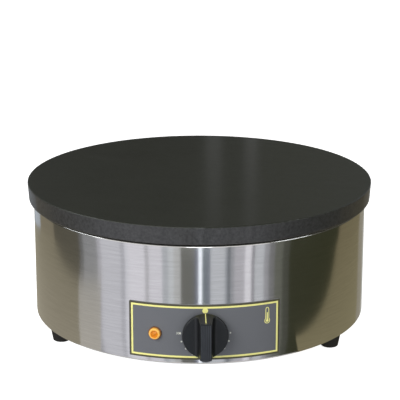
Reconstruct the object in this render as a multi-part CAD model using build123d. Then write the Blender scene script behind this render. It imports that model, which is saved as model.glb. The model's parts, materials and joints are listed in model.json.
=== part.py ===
from build123d import *

import os
from math import cos, radians, sin, sqrt

# Electric crepe maker: a cast-iron griddle plate on a brushed stainless drum, with a spiral
# heating element, a thermostat and a pilot lamp inside. All lengths are in millimetres.
# Z points up, the floor is z = 0, the plate's axis is the Z axis and the controls face -Y.

# ---- Driving dimensions -------------------------------------------------------------------
PLATE_R = 200.0  # cooking surface radius
PLATE_BOTTOM_R = 198.6  # the rim is drafted inwards by the casting pattern
RIM_HEIGHT = 20.3
WEB_THICKNESS = 12.0
SKIRT_WALL = 9.6
BOSS_R = 12.5
RIB_SIZE = (30.0, 5.0, 6.0)  # length, width, height with 1 mm let into the web
RIB_MIDDLE_R = 174.0
BLIND_BORE_COVER = 6.0  # iron left above the rods' and the stud's bores

FOOT_HEIGHT = 15.0
FOOT_BOTTOM_R = 9.6
FOOT_TOP_R = 12.4
FOOT_PITCH_R = 177.0
FOOT_RECESS_R = 3.5
FOOT_RECESS_DEPTH = 1.5
ROD_FOOT_Z = 5.0  # how far the tie rods reach down into the feet
FOOT_ANGLES = {"foot_front_left": 204.9, "foot_front_right": 324.9, "foot_rear": 84.9}

BASE_SHEET = 1.0
BASE_R = 190.0
BASE_SCREW_R = 180.0
BASE_SCREW_D = 3.8
COOLING_RINGS = ((70, 12), (105, 18), (140, 24))  # pitch radius, number of slots
COOLING_SLOT = (24.0, 5.0)
DRUM_R = 193.1
DRUM_SHEET = 0.8
DRUM_HEIGHT = 133.4
DRUM_EDGE_R = 2.0
DRUM_FLANGE_R = 166.0  # inner radius of the bottom flange
DRUM_LIP_R = 187.0  # inner radius of the top lip
PLATE_GAP = 2.5  # air gap that keeps the drum cool

FASCIA_SHEET = 0.8
FASCIA_ARC = 167.0
FASCIA_HEIGHT = 62.5
FASCIA_ABOVE_DRUM_BOTTOM = 5.5
FASCIA_CORNER_R = 1.2
CONTROL_ABOVE_DRUM_BOTTOM = 35.4  # knob axis
LAMP_ABOVE_DRUM_BOTTOM = 34.2
LAMP_ANGLE = -16.0  # degrees from the middle of the fascia, seen from above
LAMP_HOLE_D = 10.2
BUSH_HOLE_D = 12.0

ROD_D = 8.0
RUNNING_CLEARANCE = 0.05  # radial
FREE_CLEARANCE = 0.3  # radial
SLEEVE_D = 16.0
M8_NUT_AF = 13.0
M8_NUT_H = 6.5
M4_D = 4.0
M4_NUT_AF = 7.0
M4_NUT_H = 3.2
M4_CLEARANCE_D = 4.4

ELEMENT_D = 8.5
ELEMENT_PITCH = 38.0
ELEMENT_FIRST_R = 35.0
ELEMENT_HALF_TURNS = 7
ELEMENT_BEND_R = 12.0
ELEMENT_TAIL = 22.0
ELEMENT_SEAT = 1.0  # depth of the tube's axis below the web
CERAMIC_R = 5.0
CERAMIC_LENGTH = 6.0
STUD_LENGTH = 18.0  # below the element's end

SPIDER_SHEET = 4.0
SPIDER_ARM = (157.0, 20.0)
SPIDER_SLOT = (80.0, 7.0)
SPIDER_SLOT_MIDDLE = 95.0
SPIDER_HUB_R = 24.0
SPIDER_ANGLES = (105, 225, 345)  # clear of the element's ends and of the sensor bulb
WASHER_SHEET = 1.6

BULB_R = 3.0
BULB_ENDS_X = (-64.0, 26.0)
CLIP_WIDTH = 16.0
CLIP_SHEET = 1.0
CLIP_X = -19.0
CAPILLARY_D = 1.8

PAN_FLOOR_BELOW_PLATE_BOTTOM = 35.9
PAN_R = 189.5
PAN_SHEET = 0.8
PAN_WALL_HEIGHT = 30.0
INSULATION_THICKNESS = 24.2
FOIL_SHEET = 0.5
CLAMP_OPENING_R = 50.0  # through the insulation, round the spider's hub and nut
TAIL_OPENING_R = 12.0

THERMOSTAT_PLATE_HALF = 22.0
THERMOSTAT_PLATE_SHEET = 1.5
THERMOSTAT_SCREW_X = 14.0
THERMOSTAT_DEPTH = 23.0
BUSH_D = 9.6
BUSH_REACH = 3.0  # in front of the fascia
SHAFT_D = 6.0
SHAFT_LENGTH_IN_BODY = 18.0
SHAFT_LENGTH_IN_KNOB = 14.0
TAB_XS = (-11.0, 11.0)
TAB_ABOVE_AXIS = 13.5
TAB_SIZE = (6.3, 9.0, 0.8)

KNOB_R = 25.0
KNOB_FRONT_R = 21.3  # half the length of the grip's front
KNOB_STAND_OFF = 5.0  # from the fascia to the back of the knob
KNOB_DEPTH = 22.8  # back of the skirt to the front of the grip
KNOB_COLLAR = 1.2
KNOB_EDGE_R = 0.9
GRIP_HALF_WIDTHS = (6.3, 5.75, 6.1)  # top, waist and bottom of the grip's front
GRIP_FLARE = 2.2  # how much wider each flank is at its foot
GRIP_CROWN_R = 280.0
SCOOP_FLOOR_Z = 4.2  # the skirt's height beside the grip, before the root's radius
SCOOP_RIM_Z = 5.0
SCOOP_ROOT_R = 5.0
KNOB_WALL = 3.0
HUB_R = 8.0
SKIRT_HOLLOW = 2.0  # depth of the ring hollow in the knob's back
SPRING_Y = 2.96  # the leaf spring, above the shaft's flat

LENS_R = 6.2
LENS_REACH = 4.6
BEZEL_R = 7.25
BEZEL_REACH = 1.6
LAMP_TUBE_R = 4.9
LAMP_TUBE_LENGTH = 26.0
LAMP_BLADE_X = 2.2
LAMP_BLADE_TIP = 35.0  # behind the fascia

BLOCK_Y = 135.0
BLOCK_SIZE = (46.0, 22.0, 18.0)
POLE_XS = (-14.0, 0.0, 14.0)
POLE_SCREW_OFFSET_Y = 6.0
POLE_ABOVE_BASE = 7.0
BLOCK_SCREW_SPOTS = [(-7.0, BLOCK_Y), (7.0, BLOCK_Y)]
BLOCK_COUNTERBORE = 4.0
EARTH_SPOT = (52.0, 128.0)
WIRE_D = 2.6
THIN_WIRE_D = 1.8

GLAND_REACH = 28.4  # beyond the drum wall
GLAND_THREAD_R = 9.95
GLAND_HOLE_D = 20.2
GLAND_ABOVE_DRUM_BOTTOM = 32.0
GLAND_ANGLE = 190.0  # clear of the rear tie rod
CABLE_BORE_D = 8.0

# ---- Levels worked out from them ----------------------------------------------------------
DRUM_BOTTOM_Z = FOOT_HEIGHT + BASE_SHEET
DRUM_TOP_Z = DRUM_BOTTOM_Z + DRUM_HEIGHT
PLATE_BOTTOM_Z = DRUM_TOP_Z + PLATE_GAP
PLATE_TOP_Z = PLATE_BOTTOM_Z + RIM_HEIGHT
WEB_Z = PLATE_TOP_Z - WEB_THICKNESS
BOSS_Z = PLATE_BOTTOM_Z + 0.5
FLANGE_TOP_Z = DRUM_BOTTOM_Z + DRUM_SHEET
DRUM_INNER_R = DRUM_R - DRUM_SHEET
FASCIA_R = DRUM_R + FASCIA_SHEET
CONTROL_Z = DRUM_BOTTOM_Z + CONTROL_ABOVE_DRUM_BOTTOM
LAMP_Z = DRUM_BOTTOM_Z + LAMP_ABOVE_DRUM_BOTTOM
GLAND_Z = DRUM_BOTTOM_Z + GLAND_ABOVE_DRUM_BOTTOM
ELEMENT_Z = WEB_Z - ELEMENT_SEAT
SPIDER_TOP_Z = ELEMENT_Z - ELEMENT_D / 2
SPIDER_BOTTOM_Z = SPIDER_TOP_Z - SPIDER_SHEET
SPIDER_NUT_TOP_Z = SPIDER_BOTTOM_Z - WASHER_SHEET
ROD_TOP_Z = PLATE_TOP_Z - BLIND_BORE_COVER - 1.0
BULB_Z = WEB_Z - BULB_R
PAN_Z = PLATE_BOTTOM_Z - PAN_FLOOR_BELOW_PLATE_BOTTOM
PAN_FLOOR_Z = PAN_Z + PAN_SHEET
INSULATION_TOP_Z = PAN_FLOOR_Z + INSULATION_THICKNESS

# The spiral is half circles about two centres, half a pitch apart.
SPIRAL_CENTRES_X = (0.0, -ELEMENT_PITCH / 2)
INNER_END = (-ELEMENT_FIRST_R, -ELEMENT_BEND_R)
OUTER_END = (ELEMENT_FIRST_R + (ELEMENT_HALF_TURNS - 1) * ELEMENT_PITCH / 2, -ELEMENT_BEND_R)
TAIL_Z = ELEMENT_Z - ELEMENT_BEND_R - ELEMENT_TAIL
STUD_TIP_Z = TAIL_Z - STUD_LENGTH
CAPILLARY_DROP = (42.0, -107.5)  # where the capillary goes down through the insulation

THERMOSTAT_FRONT_Y = -sqrt(DRUM_INNER_R**2 - THERMOSTAT_PLATE_HALF**2)
THERMOSTAT_BODY_Y = THERMOSTAT_FRONT_Y + THERMOSTAT_PLATE_SHEET
THERMOSTAT_BACK_Y = THERMOSTAT_BODY_Y + THERMOSTAT_DEPTH
CAPSULE_LENGTH = 5.0
CAPILLARY_PORT = (12.0, THERMOSTAT_BACK_Y - 13.0, CONTROL_Z + 17.0)
BUSH_FRONT_Y = -(FASCIA_R + BUSH_REACH)
FLAT_START_Y = BUSH_FRONT_Y - 1.0
SHAFT_BACK_Y = THERMOSTAT_BODY_Y + SHAFT_LENGTH_IN_BODY
KNOB_BACK_Y = -(FASCIA_R + KNOB_STAND_OFF)
SHAFT_FRONT_Y = KNOB_BACK_Y - SHAFT_LENGTH_IN_KNOB
TAB_Z = CONTROL_Z + TAB_ABOVE_AXIS

BLOCK_Z = DRUM_BOTTOM_Z
BLOCK_TOP_Z = BLOCK_Z + BLOCK_SIZE[2]
ENTRY_Z = BLOCK_Z + POLE_ABOVE_BASE
ENTRY_Y = BLOCK_Y - BLOCK_SIZE[1] / 2 + 1.5

UP = (Align.CENTER, Align.CENTER, Align.MIN)


# ---- Small helpers ------------------------------------------------------------------------
def disc(radius, low, high, at=(0.0, 0.0)):
    """A round bar standing on level `low`, up to level `high`."""
    return Pos(at[0], at[1], low) * Cylinder(radius, high - low, align=UP)


def tube(outer, inner, low, high, at=(0.0, 0.0)):
    return disc(outer, low, high, at) - disc(inner, low, high, at)


def along_y(shape, x=0.0, y=0.0, z=0.0):
    """Turn a shape made along +Z so that it points along -Y, and move it."""
    return Pos(x, y, z) * Rot(90, 0, 0) * shape


def hexagon(across_flats, low, high, at=(0.0, 0.0), bore=0.0):
    """A nut blank with its corners turned off on both faces."""
    corner_r = across_flats / sqrt(3)
    blank = extrude(RegularPolygon(corner_r, 6), high - low)
    chamfer_h = 0.12 * corner_r
    turned = chamfer(Cylinder(corner_r, high - low, align=UP).edges().filter_by(GeomType.CIRCLE), chamfer_h)
    nut = blank & turned
    if bore:
        nut = nut - Cylinder(bore / 2, high - low, align=UP)
    return Pos(at[0], at[1], low) * nut


def wall_frame(angle, z, radius):
    """The frame of a piece on the drum wall: its +Z is the outward radius.
    The angle is counted from the middle of the fascia, and grows to the right."""
    turn = radians(angle)
    outward = Vector(sin(turn), -cos(turn), 0)
    sideways = Vector(cos(turn), sin(turn), 0)
    spot = outward * radius + Vector(0, 0, z)
    return Location(Plane(origin=spot, x_dir=sideways, z_dir=outward))


def polar(radius, angle):
    return (radius * cos(radians(angle)), radius * sin(radians(angle)))


ROD_SPOTS = [polar(FOOT_PITCH_R, angle) for angle in FOOT_ANGLES.values()]
BASE_SCREW_SPOTS = [polar(BASE_SCREW_R, FOOT_ANGLES["foot_rear"] + 60 * step + 30) for step in range(6)]


def wire_tube(points, radii, diameter):
    """An insulated conductor or capillary: straight runs joined by tangent arcs."""
    path = FilletPolyline(*points, radius=radii)
    start = Plane(origin=path @ 0, z_dir=path % 0)
    return sweep(start * Circle(diameter / 2), path=path)


def export_all(nodes):
    os.makedirs("parts", exist_ok=True)
    for name, shape in nodes.items():
        shape.label = name
        export_step(shape, f"parts/{name}.step")


# ---- Plate and heater ---------------------------------------------------------------------
def spiral_tube(radius):
    """The element's route as one round bar: seven half turns, with both ends bent down."""
    bar = None
    for index in range(ELEMENT_HALF_TURNS):
        centre_x = SPIRAL_CENTRES_X[index % 2]
        turn_r = ELEMENT_FIRST_R + index * ELEMENT_PITCH / 2
        side = 1 if index % 2 == 0 else -1
        section = Plane(origin=(centre_x + turn_r, 0, ELEMENT_Z), z_dir=(0, 1, 0)) * Circle(radius)
        half_turn = revolve(section, Axis((centre_x, 0, 0), (0, 0, side)), 180)
        bar = half_turn if bar is None else bar + half_turn
    for end_x, end_y in (INNER_END, OUTER_END):
        section = Plane(origin=(end_x, 0, ELEMENT_Z), z_dir=(0, 1, 0)) * Circle(radius)
        bend_axis = Axis((end_x, 0, ELEMENT_Z - ELEMENT_BEND_R), (1, 0, 0))
        bar = bar + revolve(section, bend_axis, 90)
        bar = bar + disc(radius, TAIL_Z, ELEMENT_Z - ELEMENT_BEND_R, (end_x, end_y))
    return bar


def make_griddle_plate():
    """The cast plate: a turned web and rim, with bosses, ribs and the element's groove below."""
    skirt_inner_r = PLATE_BOTTOM_R - SKIRT_WALL
    skirt_draft = 1.5
    profile = Polyline(
        (0, WEB_Z),
        (0, PLATE_TOP_Z),
        (PLATE_R, PLATE_TOP_Z),
        (PLATE_BOTTOM_R, PLATE_BOTTOM_Z),
        (skirt_inner_r, PLATE_BOTTOM_Z),
        (skirt_inner_r - skirt_draft, WEB_Z),
        close=True,
    )
    section = make_face(profile)
    for corner_x, radius in ((PLATE_R, 1.0), (PLATE_BOTTOM_R, 1.8), (skirt_inner_r - skirt_draft, 4.0)):
        corner = section.vertices().filter_by(lambda v: abs(v.X - corner_x) < 0.01)
        section = fillet(corner, radius)
    plate = revolve(Plane.XZ * section, Axis.Z)
    for spot in ROD_SPOTS:
        plate = plate + disc(BOSS_R, BOSS_Z, WEB_Z + 1, spot)
    rib = Pos(RIB_MIDDLE_R, 0, WEB_Z + 1 - RIB_SIZE[2]) * Box(*RIB_SIZE, align=UP)
    for step in range(12):
        if step % 4:
            plate = plate + Rot(0, 0, FOOT_ANGLES["foot_rear"] + 30 * step) * rib
    plate = plate + disc(15, WEB_Z - 3, WEB_Z + 1)
    plate = plate - spiral_tube(ELEMENT_D / 2 + 0.1)
    for spot in [(0.0, 0.0)] + ROD_SPOTS:
        bore_top_z = PLATE_TOP_Z - BLIND_BORE_COVER
        plate = plate - disc(ROD_D / 2 + RUNNING_CLEARANCE, PLATE_BOTTOM_Z - 1, bore_top_z, spot)
    return plate


def make_element_ceramics():
    """The ceramic collars at the element's two cold ends."""
    bore_r = M4_D / 2 + 0.1
    return [tube(CERAMIC_R, bore_r, TAIL_Z - CERAMIC_LENGTH, TAIL_Z, end) for end in (INNER_END, OUTER_END)]


def make_element_studs():
    """The threaded ends that carry the wires, each with a nut under its collar."""
    studs = []
    nut_top = TAIL_Z - CERAMIC_LENGTH
    for end in (INNER_END, OUTER_END):
        stud = disc(M4_D / 2, STUD_TIP_Z, TAIL_Z, end)
        studs.append(stud + hexagon(M4_NUT_AF, nut_top - M4_NUT_H, nut_top, end))
    return studs


def make_clamp_spider():
    """Three flat arms that press the element up into its groove."""
    length, width = SPIDER_ARM
    sketch = Circle(SPIDER_HUB_R)
    for angle in SPIDER_ANGLES:
        arm = Pos(length / 2, 0) * RectangleRounded(length, width, 6)
        slot = Pos(SPIDER_SLOT_MIDDLE, 0) * SlotOverall(*SPIDER_SLOT)
        sketch = sketch + Rot(0, 0, angle) * arm
        sketch = sketch - Rot(0, 0, angle) * slot
    sketch = sketch - Circle(ROD_D / 2 + FREE_CLEARANCE)
    return Pos(0, 0, SPIDER_BOTTOM_Z) * extrude(sketch, SPIDER_SHEET)


def make_spider_stud():
    return disc(ROD_D / 2, SPIDER_NUT_TOP_Z - M8_NUT_H - 2.9, ROD_TOP_Z)


def make_spider_nut():
    washer = disc(9.0, SPIDER_NUT_TOP_Z, SPIDER_BOTTOM_Z)
    nut = hexagon(M8_NUT_AF, SPIDER_NUT_TOP_Z - M8_NUT_H, SPIDER_NUT_TOP_Z)
    return washer + nut - disc(ROD_D / 2 + RUNNING_CLEARANCE, SPIDER_NUT_TOP_Z - 9, SPIDER_BOTTOM_Z)


def make_sensor_bulb():
    left, right = BULB_ENDS_X
    bulb = Rot(0, 90, 0) * Cylinder(BULB_R, right - left)
    bulb = fillet(bulb.edges().filter_by(GeomType.CIRCLE), 1.2)
    return Pos((left + right) / 2, CAPILLARY_DROP[1], BULB_Z) * bulb


def make_sensor_clip():
    """A sprung strap under the bulb, with an ear on each side against the web."""
    clip_r = BULB_R + 0.1
    outer_r = clip_r + CLIP_SHEET
    half_round = Rot(0, 90, 0) * Cylinder(outer_r, CLIP_WIDTH) - Pos(0, 0, 10) * Box(30, 30, 20)
    sides = Box(CLIP_WIDTH, 2 * outer_r, BULB_R, align=UP)
    ears = Pos(0, 0, BULB_R - CLIP_SHEET) * Box(CLIP_WIDTH, 2 * outer_r + 14, CLIP_SHEET, align=UP)
    room = Rot(0, 90, 0) * Cylinder(clip_r, 20) + Box(20, 2 * clip_r, 10, align=UP)
    return Pos(CLIP_X, CAPILLARY_DROP[1], BULB_Z) * (half_round + sides + ears - room)


def heat_barrier_openings():
    """What passes through the insulation and its foil: the clamp, the rods, a tail, the capillary."""
    low = PAN_Z - 1
    high = PLATE_BOTTOM_Z
    cut = disc(CLAMP_OPENING_R, low, high) + disc(TAIL_OPENING_R, low, high, OUTER_END)
    cut = cut + disc(5, low, high, CAPILLARY_DROP)
    for spot in ROD_SPOTS:
        cut = cut + disc(SLEEVE_D / 2 + 0.7, low, high, spot)
    return cut


def make_insulation_disc():
    return disc(PAN_R - PAN_SHEET - 0.5, PAN_FLOOR_Z, INSULATION_TOP_Z) - heat_barrier_openings()


def make_reflector_sheet():
    foil = disc(PAN_R - PAN_SHEET - 0.5, INSULATION_TOP_Z, INSULATION_TOP_Z + FOIL_SHEET)
    return foil - heat_barrier_openings()


def make_heat_shield_pan():
    pan = disc(PAN_R, PAN_Z, PAN_Z + PAN_WALL_HEIGHT)
    pan = fillet(pan.faces().sort_by(Axis.Z)[0].edges(), 2.0)
    cavity = disc(PAN_R - PAN_SHEET, PAN_FLOOR_Z, PAN_Z + PAN_WALL_HEIGHT + 1)
    cavity = fillet(cavity.faces().sort_by(Axis.Z)[0].edges(), 0.5)
    pan = pan - cavity
    holes = [(ROD_D / 2 + FREE_CLEARANCE, spot) for spot in ROD_SPOTS]
    holes += [(9.0, INNER_END), (9.0, OUTER_END), (3.0, CAPILLARY_DROP)]
    for radius, spot in holes:
        pan = pan - disc(radius, PAN_Z - 1, PAN_FLOOR_Z + 1, spot)
    return pan


# ---- Tie rods that stand the plate on its feet ----------------------------------------------
def make_tie_rods():
    return [disc(ROD_D / 2, ROD_FOOT_Z, ROD_TOP_Z, spot) for spot in ROD_SPOTS]


def make_rod_nuts():
    top = FLANGE_TOP_Z + M8_NUT_H
    return [hexagon(M8_NUT_AF, FLANGE_TOP_Z, top, spot, ROD_D + 2 * RUNNING_CLEARANCE) for spot in ROD_SPOTS]


def make_sleeves(low, high):
    """Spacers on the three rods between two levels."""
    return [tube(SLEEVE_D / 2, ROD_D / 2 + FREE_CLEARANCE, low, high, spot) for spot in ROD_SPOTS]


def make_foot(spot):
    """A tapered rubber foot with a recess below and a blind bore for its rod."""
    foot = Cone(FOOT_BOTTOM_R, FOOT_TOP_R, FOOT_HEIGHT, align=UP)
    foot = fillet(foot.faces().sort_by(Axis.Z)[0].edges(), 1.6)
    foot = foot - Cylinder(FOOT_RECESS_R, FOOT_RECESS_DEPTH, align=UP)
    foot = foot - disc(ROD_D / 2 + RUNNING_CLEARANCE, ROD_FOOT_Z - 0.5, FOOT_HEIGHT)
    return Pos(*spot) * foot


# ---- Drum and base --------------------------------------------------------------------------
def rounded_can(radius, low, high, edge_r):
    can = disc(radius, low, high)
    return fillet(can.edges().filter_by(GeomType.CIRCLE), edge_r)


def wall_hole(diameter, angle, z):
    """A drill through the drum wall and the fascia."""
    return wall_frame(angle, z, DRUM_R) * Cylinder(diameter / 2, 24)


def fascia_holes():
    holes = wall_hole(LAMP_HOLE_D, LAMP_ANGLE, LAMP_Z) + wall_hole(BUSH_HOLE_D, 0, CONTROL_Z)
    for x in (-THERMOSTAT_SCREW_X, THERMOSTAT_SCREW_X):
        holes = holes + along_y(Cylinder(M4_CLEARANCE_D / 2, 24), x, -DRUM_R, CONTROL_Z)
    return holes


def make_drum_shell():
    """Rolled sheet with a bend at both ends: a lip under the plate and a flange on the base."""
    inner_low = DRUM_BOTTOM_Z + DRUM_SHEET
    inner_high = DRUM_TOP_Z - DRUM_SHEET
    drum = rounded_can(DRUM_R, DRUM_BOTTOM_Z, DRUM_TOP_Z, DRUM_EDGE_R)
    drum = drum - rounded_can(DRUM_INNER_R, inner_low, inner_high, DRUM_EDGE_R - DRUM_SHEET)
    drum = drum - disc(DRUM_LIP_R, inner_high - 1, DRUM_TOP_Z + 1)
    drum = drum - disc(DRUM_FLANGE_R, DRUM_BOTTOM_Z - 1, inner_low + 1)
    for spot in ROD_SPOTS:
        drum = drum - disc(ROD_D / 2 + FREE_CLEARANCE, DRUM_BOTTOM_Z - 1, inner_low + 1, spot)
    for spot in BASE_SCREW_SPOTS:
        drum = drum - disc(BASE_SCREW_D / 2 + RUNNING_CLEARANCE, DRUM_BOTTOM_Z - 1, inner_low + 1, spot)
    drum = drum - fascia_holes()
    return drum - wall_hole(GLAND_HOLE_D, GLAND_ANGLE, GLAND_Z)


def make_base_plate():
    """The bottom cover, with three rings of slots for cooling air."""
    plate = disc(BASE_R, FOOT_HEIGHT, DRUM_BOTTOM_Z)
    slots = Sketch()
    block_spot = Vector(0, BLOCK_Y)
    for ring_r, count in COOLING_RINGS:
        for step in range(count):
            angle = 360 * step / count
            if (Vector(*polar(ring_r, angle)) - block_spot).length > 45:
                slots = slots + Rot(0, 0, angle) * Pos(ring_r, 0) * SlotOverall(*COOLING_SLOT)
    plate = plate - Pos(0, 0, FOOT_HEIGHT - 1) * extrude(slots, BASE_SHEET + 2)
    holes = [(ROD_D / 2 + FREE_CLEARANCE, spot) for spot in ROD_SPOTS]
    holes += [(M4_CLEARANCE_D / 2, spot) for spot in BASE_SCREW_SPOTS + BLOCK_SCREW_SPOTS + [EARTH_SPOT]]
    for radius, spot in holes:
        plate = plate - disc(radius, FOOT_HEIGHT - 1, DRUM_BOTTOM_Z + 1, spot)
    return plate


def pan_head_screw(head_r, head_h, shank_r, length):
    """A cross-recessed screw along +Z, its head below z = 0 and its shank above."""
    head = Pos(0, 0, -head_h) * Cylinder(head_r, head_h, align=UP)
    head = fillet(head.faces().sort_by(Axis.Z)[0].edges(), 0.45 * head_h)
    bar = Box(0.35 * head_r, 1.3 * head_r, 1.6)
    recess = Pos(0, 0, -head_h) * (bar + Rot(0, 0, 90) * bar)
    return head - recess + Cylinder(shank_r, length, align=UP)


def make_base_screws():
    screw = pan_head_screw(3.8, 2.4, BASE_SCREW_D / 2, 8.0)
    return [Pos(*spot, FOOT_HEIGHT) * screw for spot in BASE_SCREW_SPOTS]


# ---- Controls -------------------------------------------------------------------------------
def make_control_fascia():
    """A printed plate bent to the drum, under the knob and the lamp."""
    low = DRUM_BOTTOM_Z + FASCIA_ABOVE_DRUM_BOTTOM
    half_width = FASCIA_R * sin(FASCIA_ARC / 2 / FASCIA_R)
    blank = extrude(RectangleRounded(2 * half_width, FASCIA_HEIGHT, FASCIA_CORNER_R), 90)
    cutter = along_y(blank, y=-DRUM_R + 60, z=low + FASCIA_HEIGHT / 2)
    fascia = tube(FASCIA_R, DRUM_R, low - 1, low + FASCIA_HEIGHT + 1) & cutter
    return fascia - fascia_holes()


def on_axis(shape, y):
    """A shape made along +Z, laid on the knob's axis so that it points forwards from `y`."""
    return along_y(shape, y=y, z=CONTROL_Z)


def thermostat_screw_holes(radius, depth):
    drill = on_axis(Cylinder(radius, depth), THERMOSTAT_BODY_Y)
    return Pos(-THERMOSTAT_SCREW_X, 0, 0) * drill + Pos(THERMOSTAT_SCREW_X, 0, 0) * drill


def make_thermostat_plate():
    """The flat mounting plate, whose side edges bear on the curved drum wall."""
    blank = extrude(RectangleRounded(2 * THERMOSTAT_PLATE_HALF, 40, 4), THERMOSTAT_PLATE_SHEET)
    bush_hole = on_axis(Cylinder(BUSH_D / 2 + 0.5, 10), THERMOSTAT_BODY_Y)
    return on_axis(blank, THERMOSTAT_BODY_Y) - bush_hole - thermostat_screw_holes(2.0, 10)


def make_thermostat_body():
    """The switch housing with its diaphragm capsule, threaded bush and shaft bore."""
    case = on_axis(extrude(RectangleRounded(38, 34, 3), THERMOSTAT_DEPTH), THERMOSTAT_BACK_Y)
    seam = Pos(0, THERMOSTAT_BACK_Y - 8, CONTROL_Z) * (Box(60, 2, 50) - Box(36.5, 4, 32.5))
    capsule = on_axis(extrude(Circle(12), CAPSULE_LENGTH), THERMOSTAT_BACK_Y + CAPSULE_LENGTH)
    capsule = chamfer(capsule.faces().sort_by(Axis.Y)[-1].edges(), 1.5)
    bush = on_axis(Cylinder(BUSH_D / 2, THERMOSTAT_BODY_Y - BUSH_FRONT_Y, align=UP), THERMOSTAT_BODY_Y)
    bore_back_y = SHAFT_BACK_Y + 1.0
    bore = Cylinder(SHAFT_D / 2 + RUNNING_CLEARANCE, bore_back_y - BUSH_FRONT_Y + 1.0, align=UP)
    capillary_port = Pos(*CAPILLARY_PORT) * Cylinder(3, 3, align=UP)
    body = case - seam + capsule + bush + capillary_port
    return body - on_axis(bore, bore_back_y) - thermostat_screw_holes(1.95, 16)


def make_thermostat_tabs():
    """Two blade terminals on the back of the switch."""
    width, length, sheet = TAB_SIZE
    tabs = []
    for x in TAB_XS:
        tab = Pos(x, THERMOSTAT_BACK_Y + length / 2, TAB_Z) * Box(width, length, sheet)
        tab = chamfer(tab.faces().sort_by(Axis.Y)[-1].edges().filter_by(Axis.Z), 1.0)
        tabs.append(tab - Pos(x, THERMOSTAT_BACK_Y + 5, TAB_Z) * Cylinder(0.9, 4))
    return tabs


def make_thermostat_screws():
    """Their heads touch the curved fascia at the side nearer to the knob."""
    head_r = 3.5
    screw = pan_head_screw(head_r, 2.2, 1.85, 9.0)
    seat_y = -sqrt(FASCIA_R**2 - (THERMOSTAT_SCREW_X - head_r) ** 2) - 0.02
    return [
        Pos(x, seat_y, CONTROL_Z) * Rot(-90, 0, 0) * screw for x in (-THERMOSTAT_SCREW_X, THERMOSTAT_SCREW_X)
    ]


def shaft_section(radius):
    """A round shaft with one flat, above its axis."""
    flat = Pos(0, radius + 0.72 * radius) * Rectangle(4 * radius, 2 * radius)
    return Circle(radius) - flat


def make_thermostat_shaft():
    """Round where it runs in the bush, with a flat where it drives the knob."""
    shaft = on_axis(Cylinder(SHAFT_D / 2, SHAFT_BACK_Y - FLAT_START_Y, align=UP), SHAFT_BACK_Y)
    drive = on_axis(extrude(shaft_section(SHAFT_D / 2), FLAT_START_Y - SHAFT_FRONT_Y), FLAT_START_Y)
    return shaft + drive


# The knob is drawn with its back on z = 0, its front at +Z and its pointer towards +Y.
def knob_cone():
    """The outer form: a short collar and a drafted cone, with the grip's front slightly crowned."""
    collar = Cone(KNOB_R - 0.9, KNOB_R, KNOB_COLLAR, align=UP)
    cone = Pos(0, 0, KNOB_COLLAR) * Cone(KNOB_R, KNOB_FRONT_R, KNOB_DEPTH - KNOB_COLLAR, align=UP)
    crown = Pos(0, 0, KNOB_DEPTH - GRIP_CROWN_R) * Rot(0, 90, 0) * Cylinder(GRIP_CROWN_R, 4 * KNOB_R)
    return (collar + cone) & crown


def scoop_section(half_width, y):
    """Across the grip: down its flank, round its root and out over the skirt."""
    above = KNOB_DEPTH + 1.0
    beyond = KNOB_R + 5.0
    flank_foot = half_width + GRIP_FLARE
    outline = Polyline(
        (half_width, above), (flank_foot, SCOOP_FLOOR_Z), (beyond, SCOOP_RIM_Z), (beyond, above), close=True
    )
    section = make_face(outline)
    root = section.vertices().filter_by(lambda v: abs(v.X - flank_foot) < 0.01)
    return Pos(0, y, 0) * (Plane.XZ * fillet(root, SCOOP_ROOT_R))


def knob_scoop():
    """What is hollowed out beside the grip: lofted, so that the grip gets a waist."""
    top, waist, bottom = GRIP_HALF_WIDTHS
    ends = KNOB_R + 2.0
    return loft([scoop_section(top, ends), scoop_section(waist, 0), scoop_section(bottom, -ends)])


def make_knob():
    """A moulded knob: a cone scooped out on both sides, which leaves a grip across a thin skirt."""
    cone = knob_cone()
    scoop = knob_scoop()
    form = cone - scoop - mirror(scoop, about=Plane.YZ)

    def on_skin(edge):
        middle = edge @ 0.5
        cone_r = KNOB_R - (KNOB_R - KNOB_FRONT_R) * (middle.Z - KNOB_COLLAR) / (KNOB_DEPTH - KNOB_COLLAR)
        return middle.Z > KNOB_COLLAR + 1 and sqrt(middle.X**2 + middle.Y**2) > cone_r - 0.05

    form = fillet(form.edges().filter_by(on_skin), KNOB_EDGE_R)
    hollow = tube(KNOB_R - KNOB_WALL, HUB_R, -1, SKIRT_HOLLOW)
    for step in range(6):
        hollow = hollow - Rot(0, 0, 60 * step) * Pos(15, 0, 0) * Box(20, 1.6, 12)
    bore = Pos(0, 0, -1) * extrude(shaft_section(SHAFT_D / 2 + 0.01), SHAFT_LENGTH_IN_KNOB + 1.2)
    spring_slot = Pos(0, SPRING_Y, 5) * Box(4.2, 1.6, 12)
    return on_axis(form - hollow - bore - spring_slot, KNOB_BACK_Y)


def make_knob_spring():
    """The leaf that grips the shaft's flat inside the knob hub."""
    leaf = Pos(0, SPRING_Y, 5) * Box(4.0, 1.1, 11.5)
    return on_axis(leaf, KNOB_BACK_Y)


# ---- Pilot lamp -------------------------------------------------------------------------------
def lamp_frame():
    return wall_frame(LAMP_ANGLE, LAMP_Z, FASCIA_R)


def within(radius, shape):
    """The part of a lamp piece that is inside a cylinder round the machine's axis."""
    return shape & disc(radius, LAMP_Z - 20, LAMP_Z + 20)


def outside(radius, shape):
    return shape - disc(radius, LAMP_Z - 20, LAMP_Z + 20)


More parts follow.
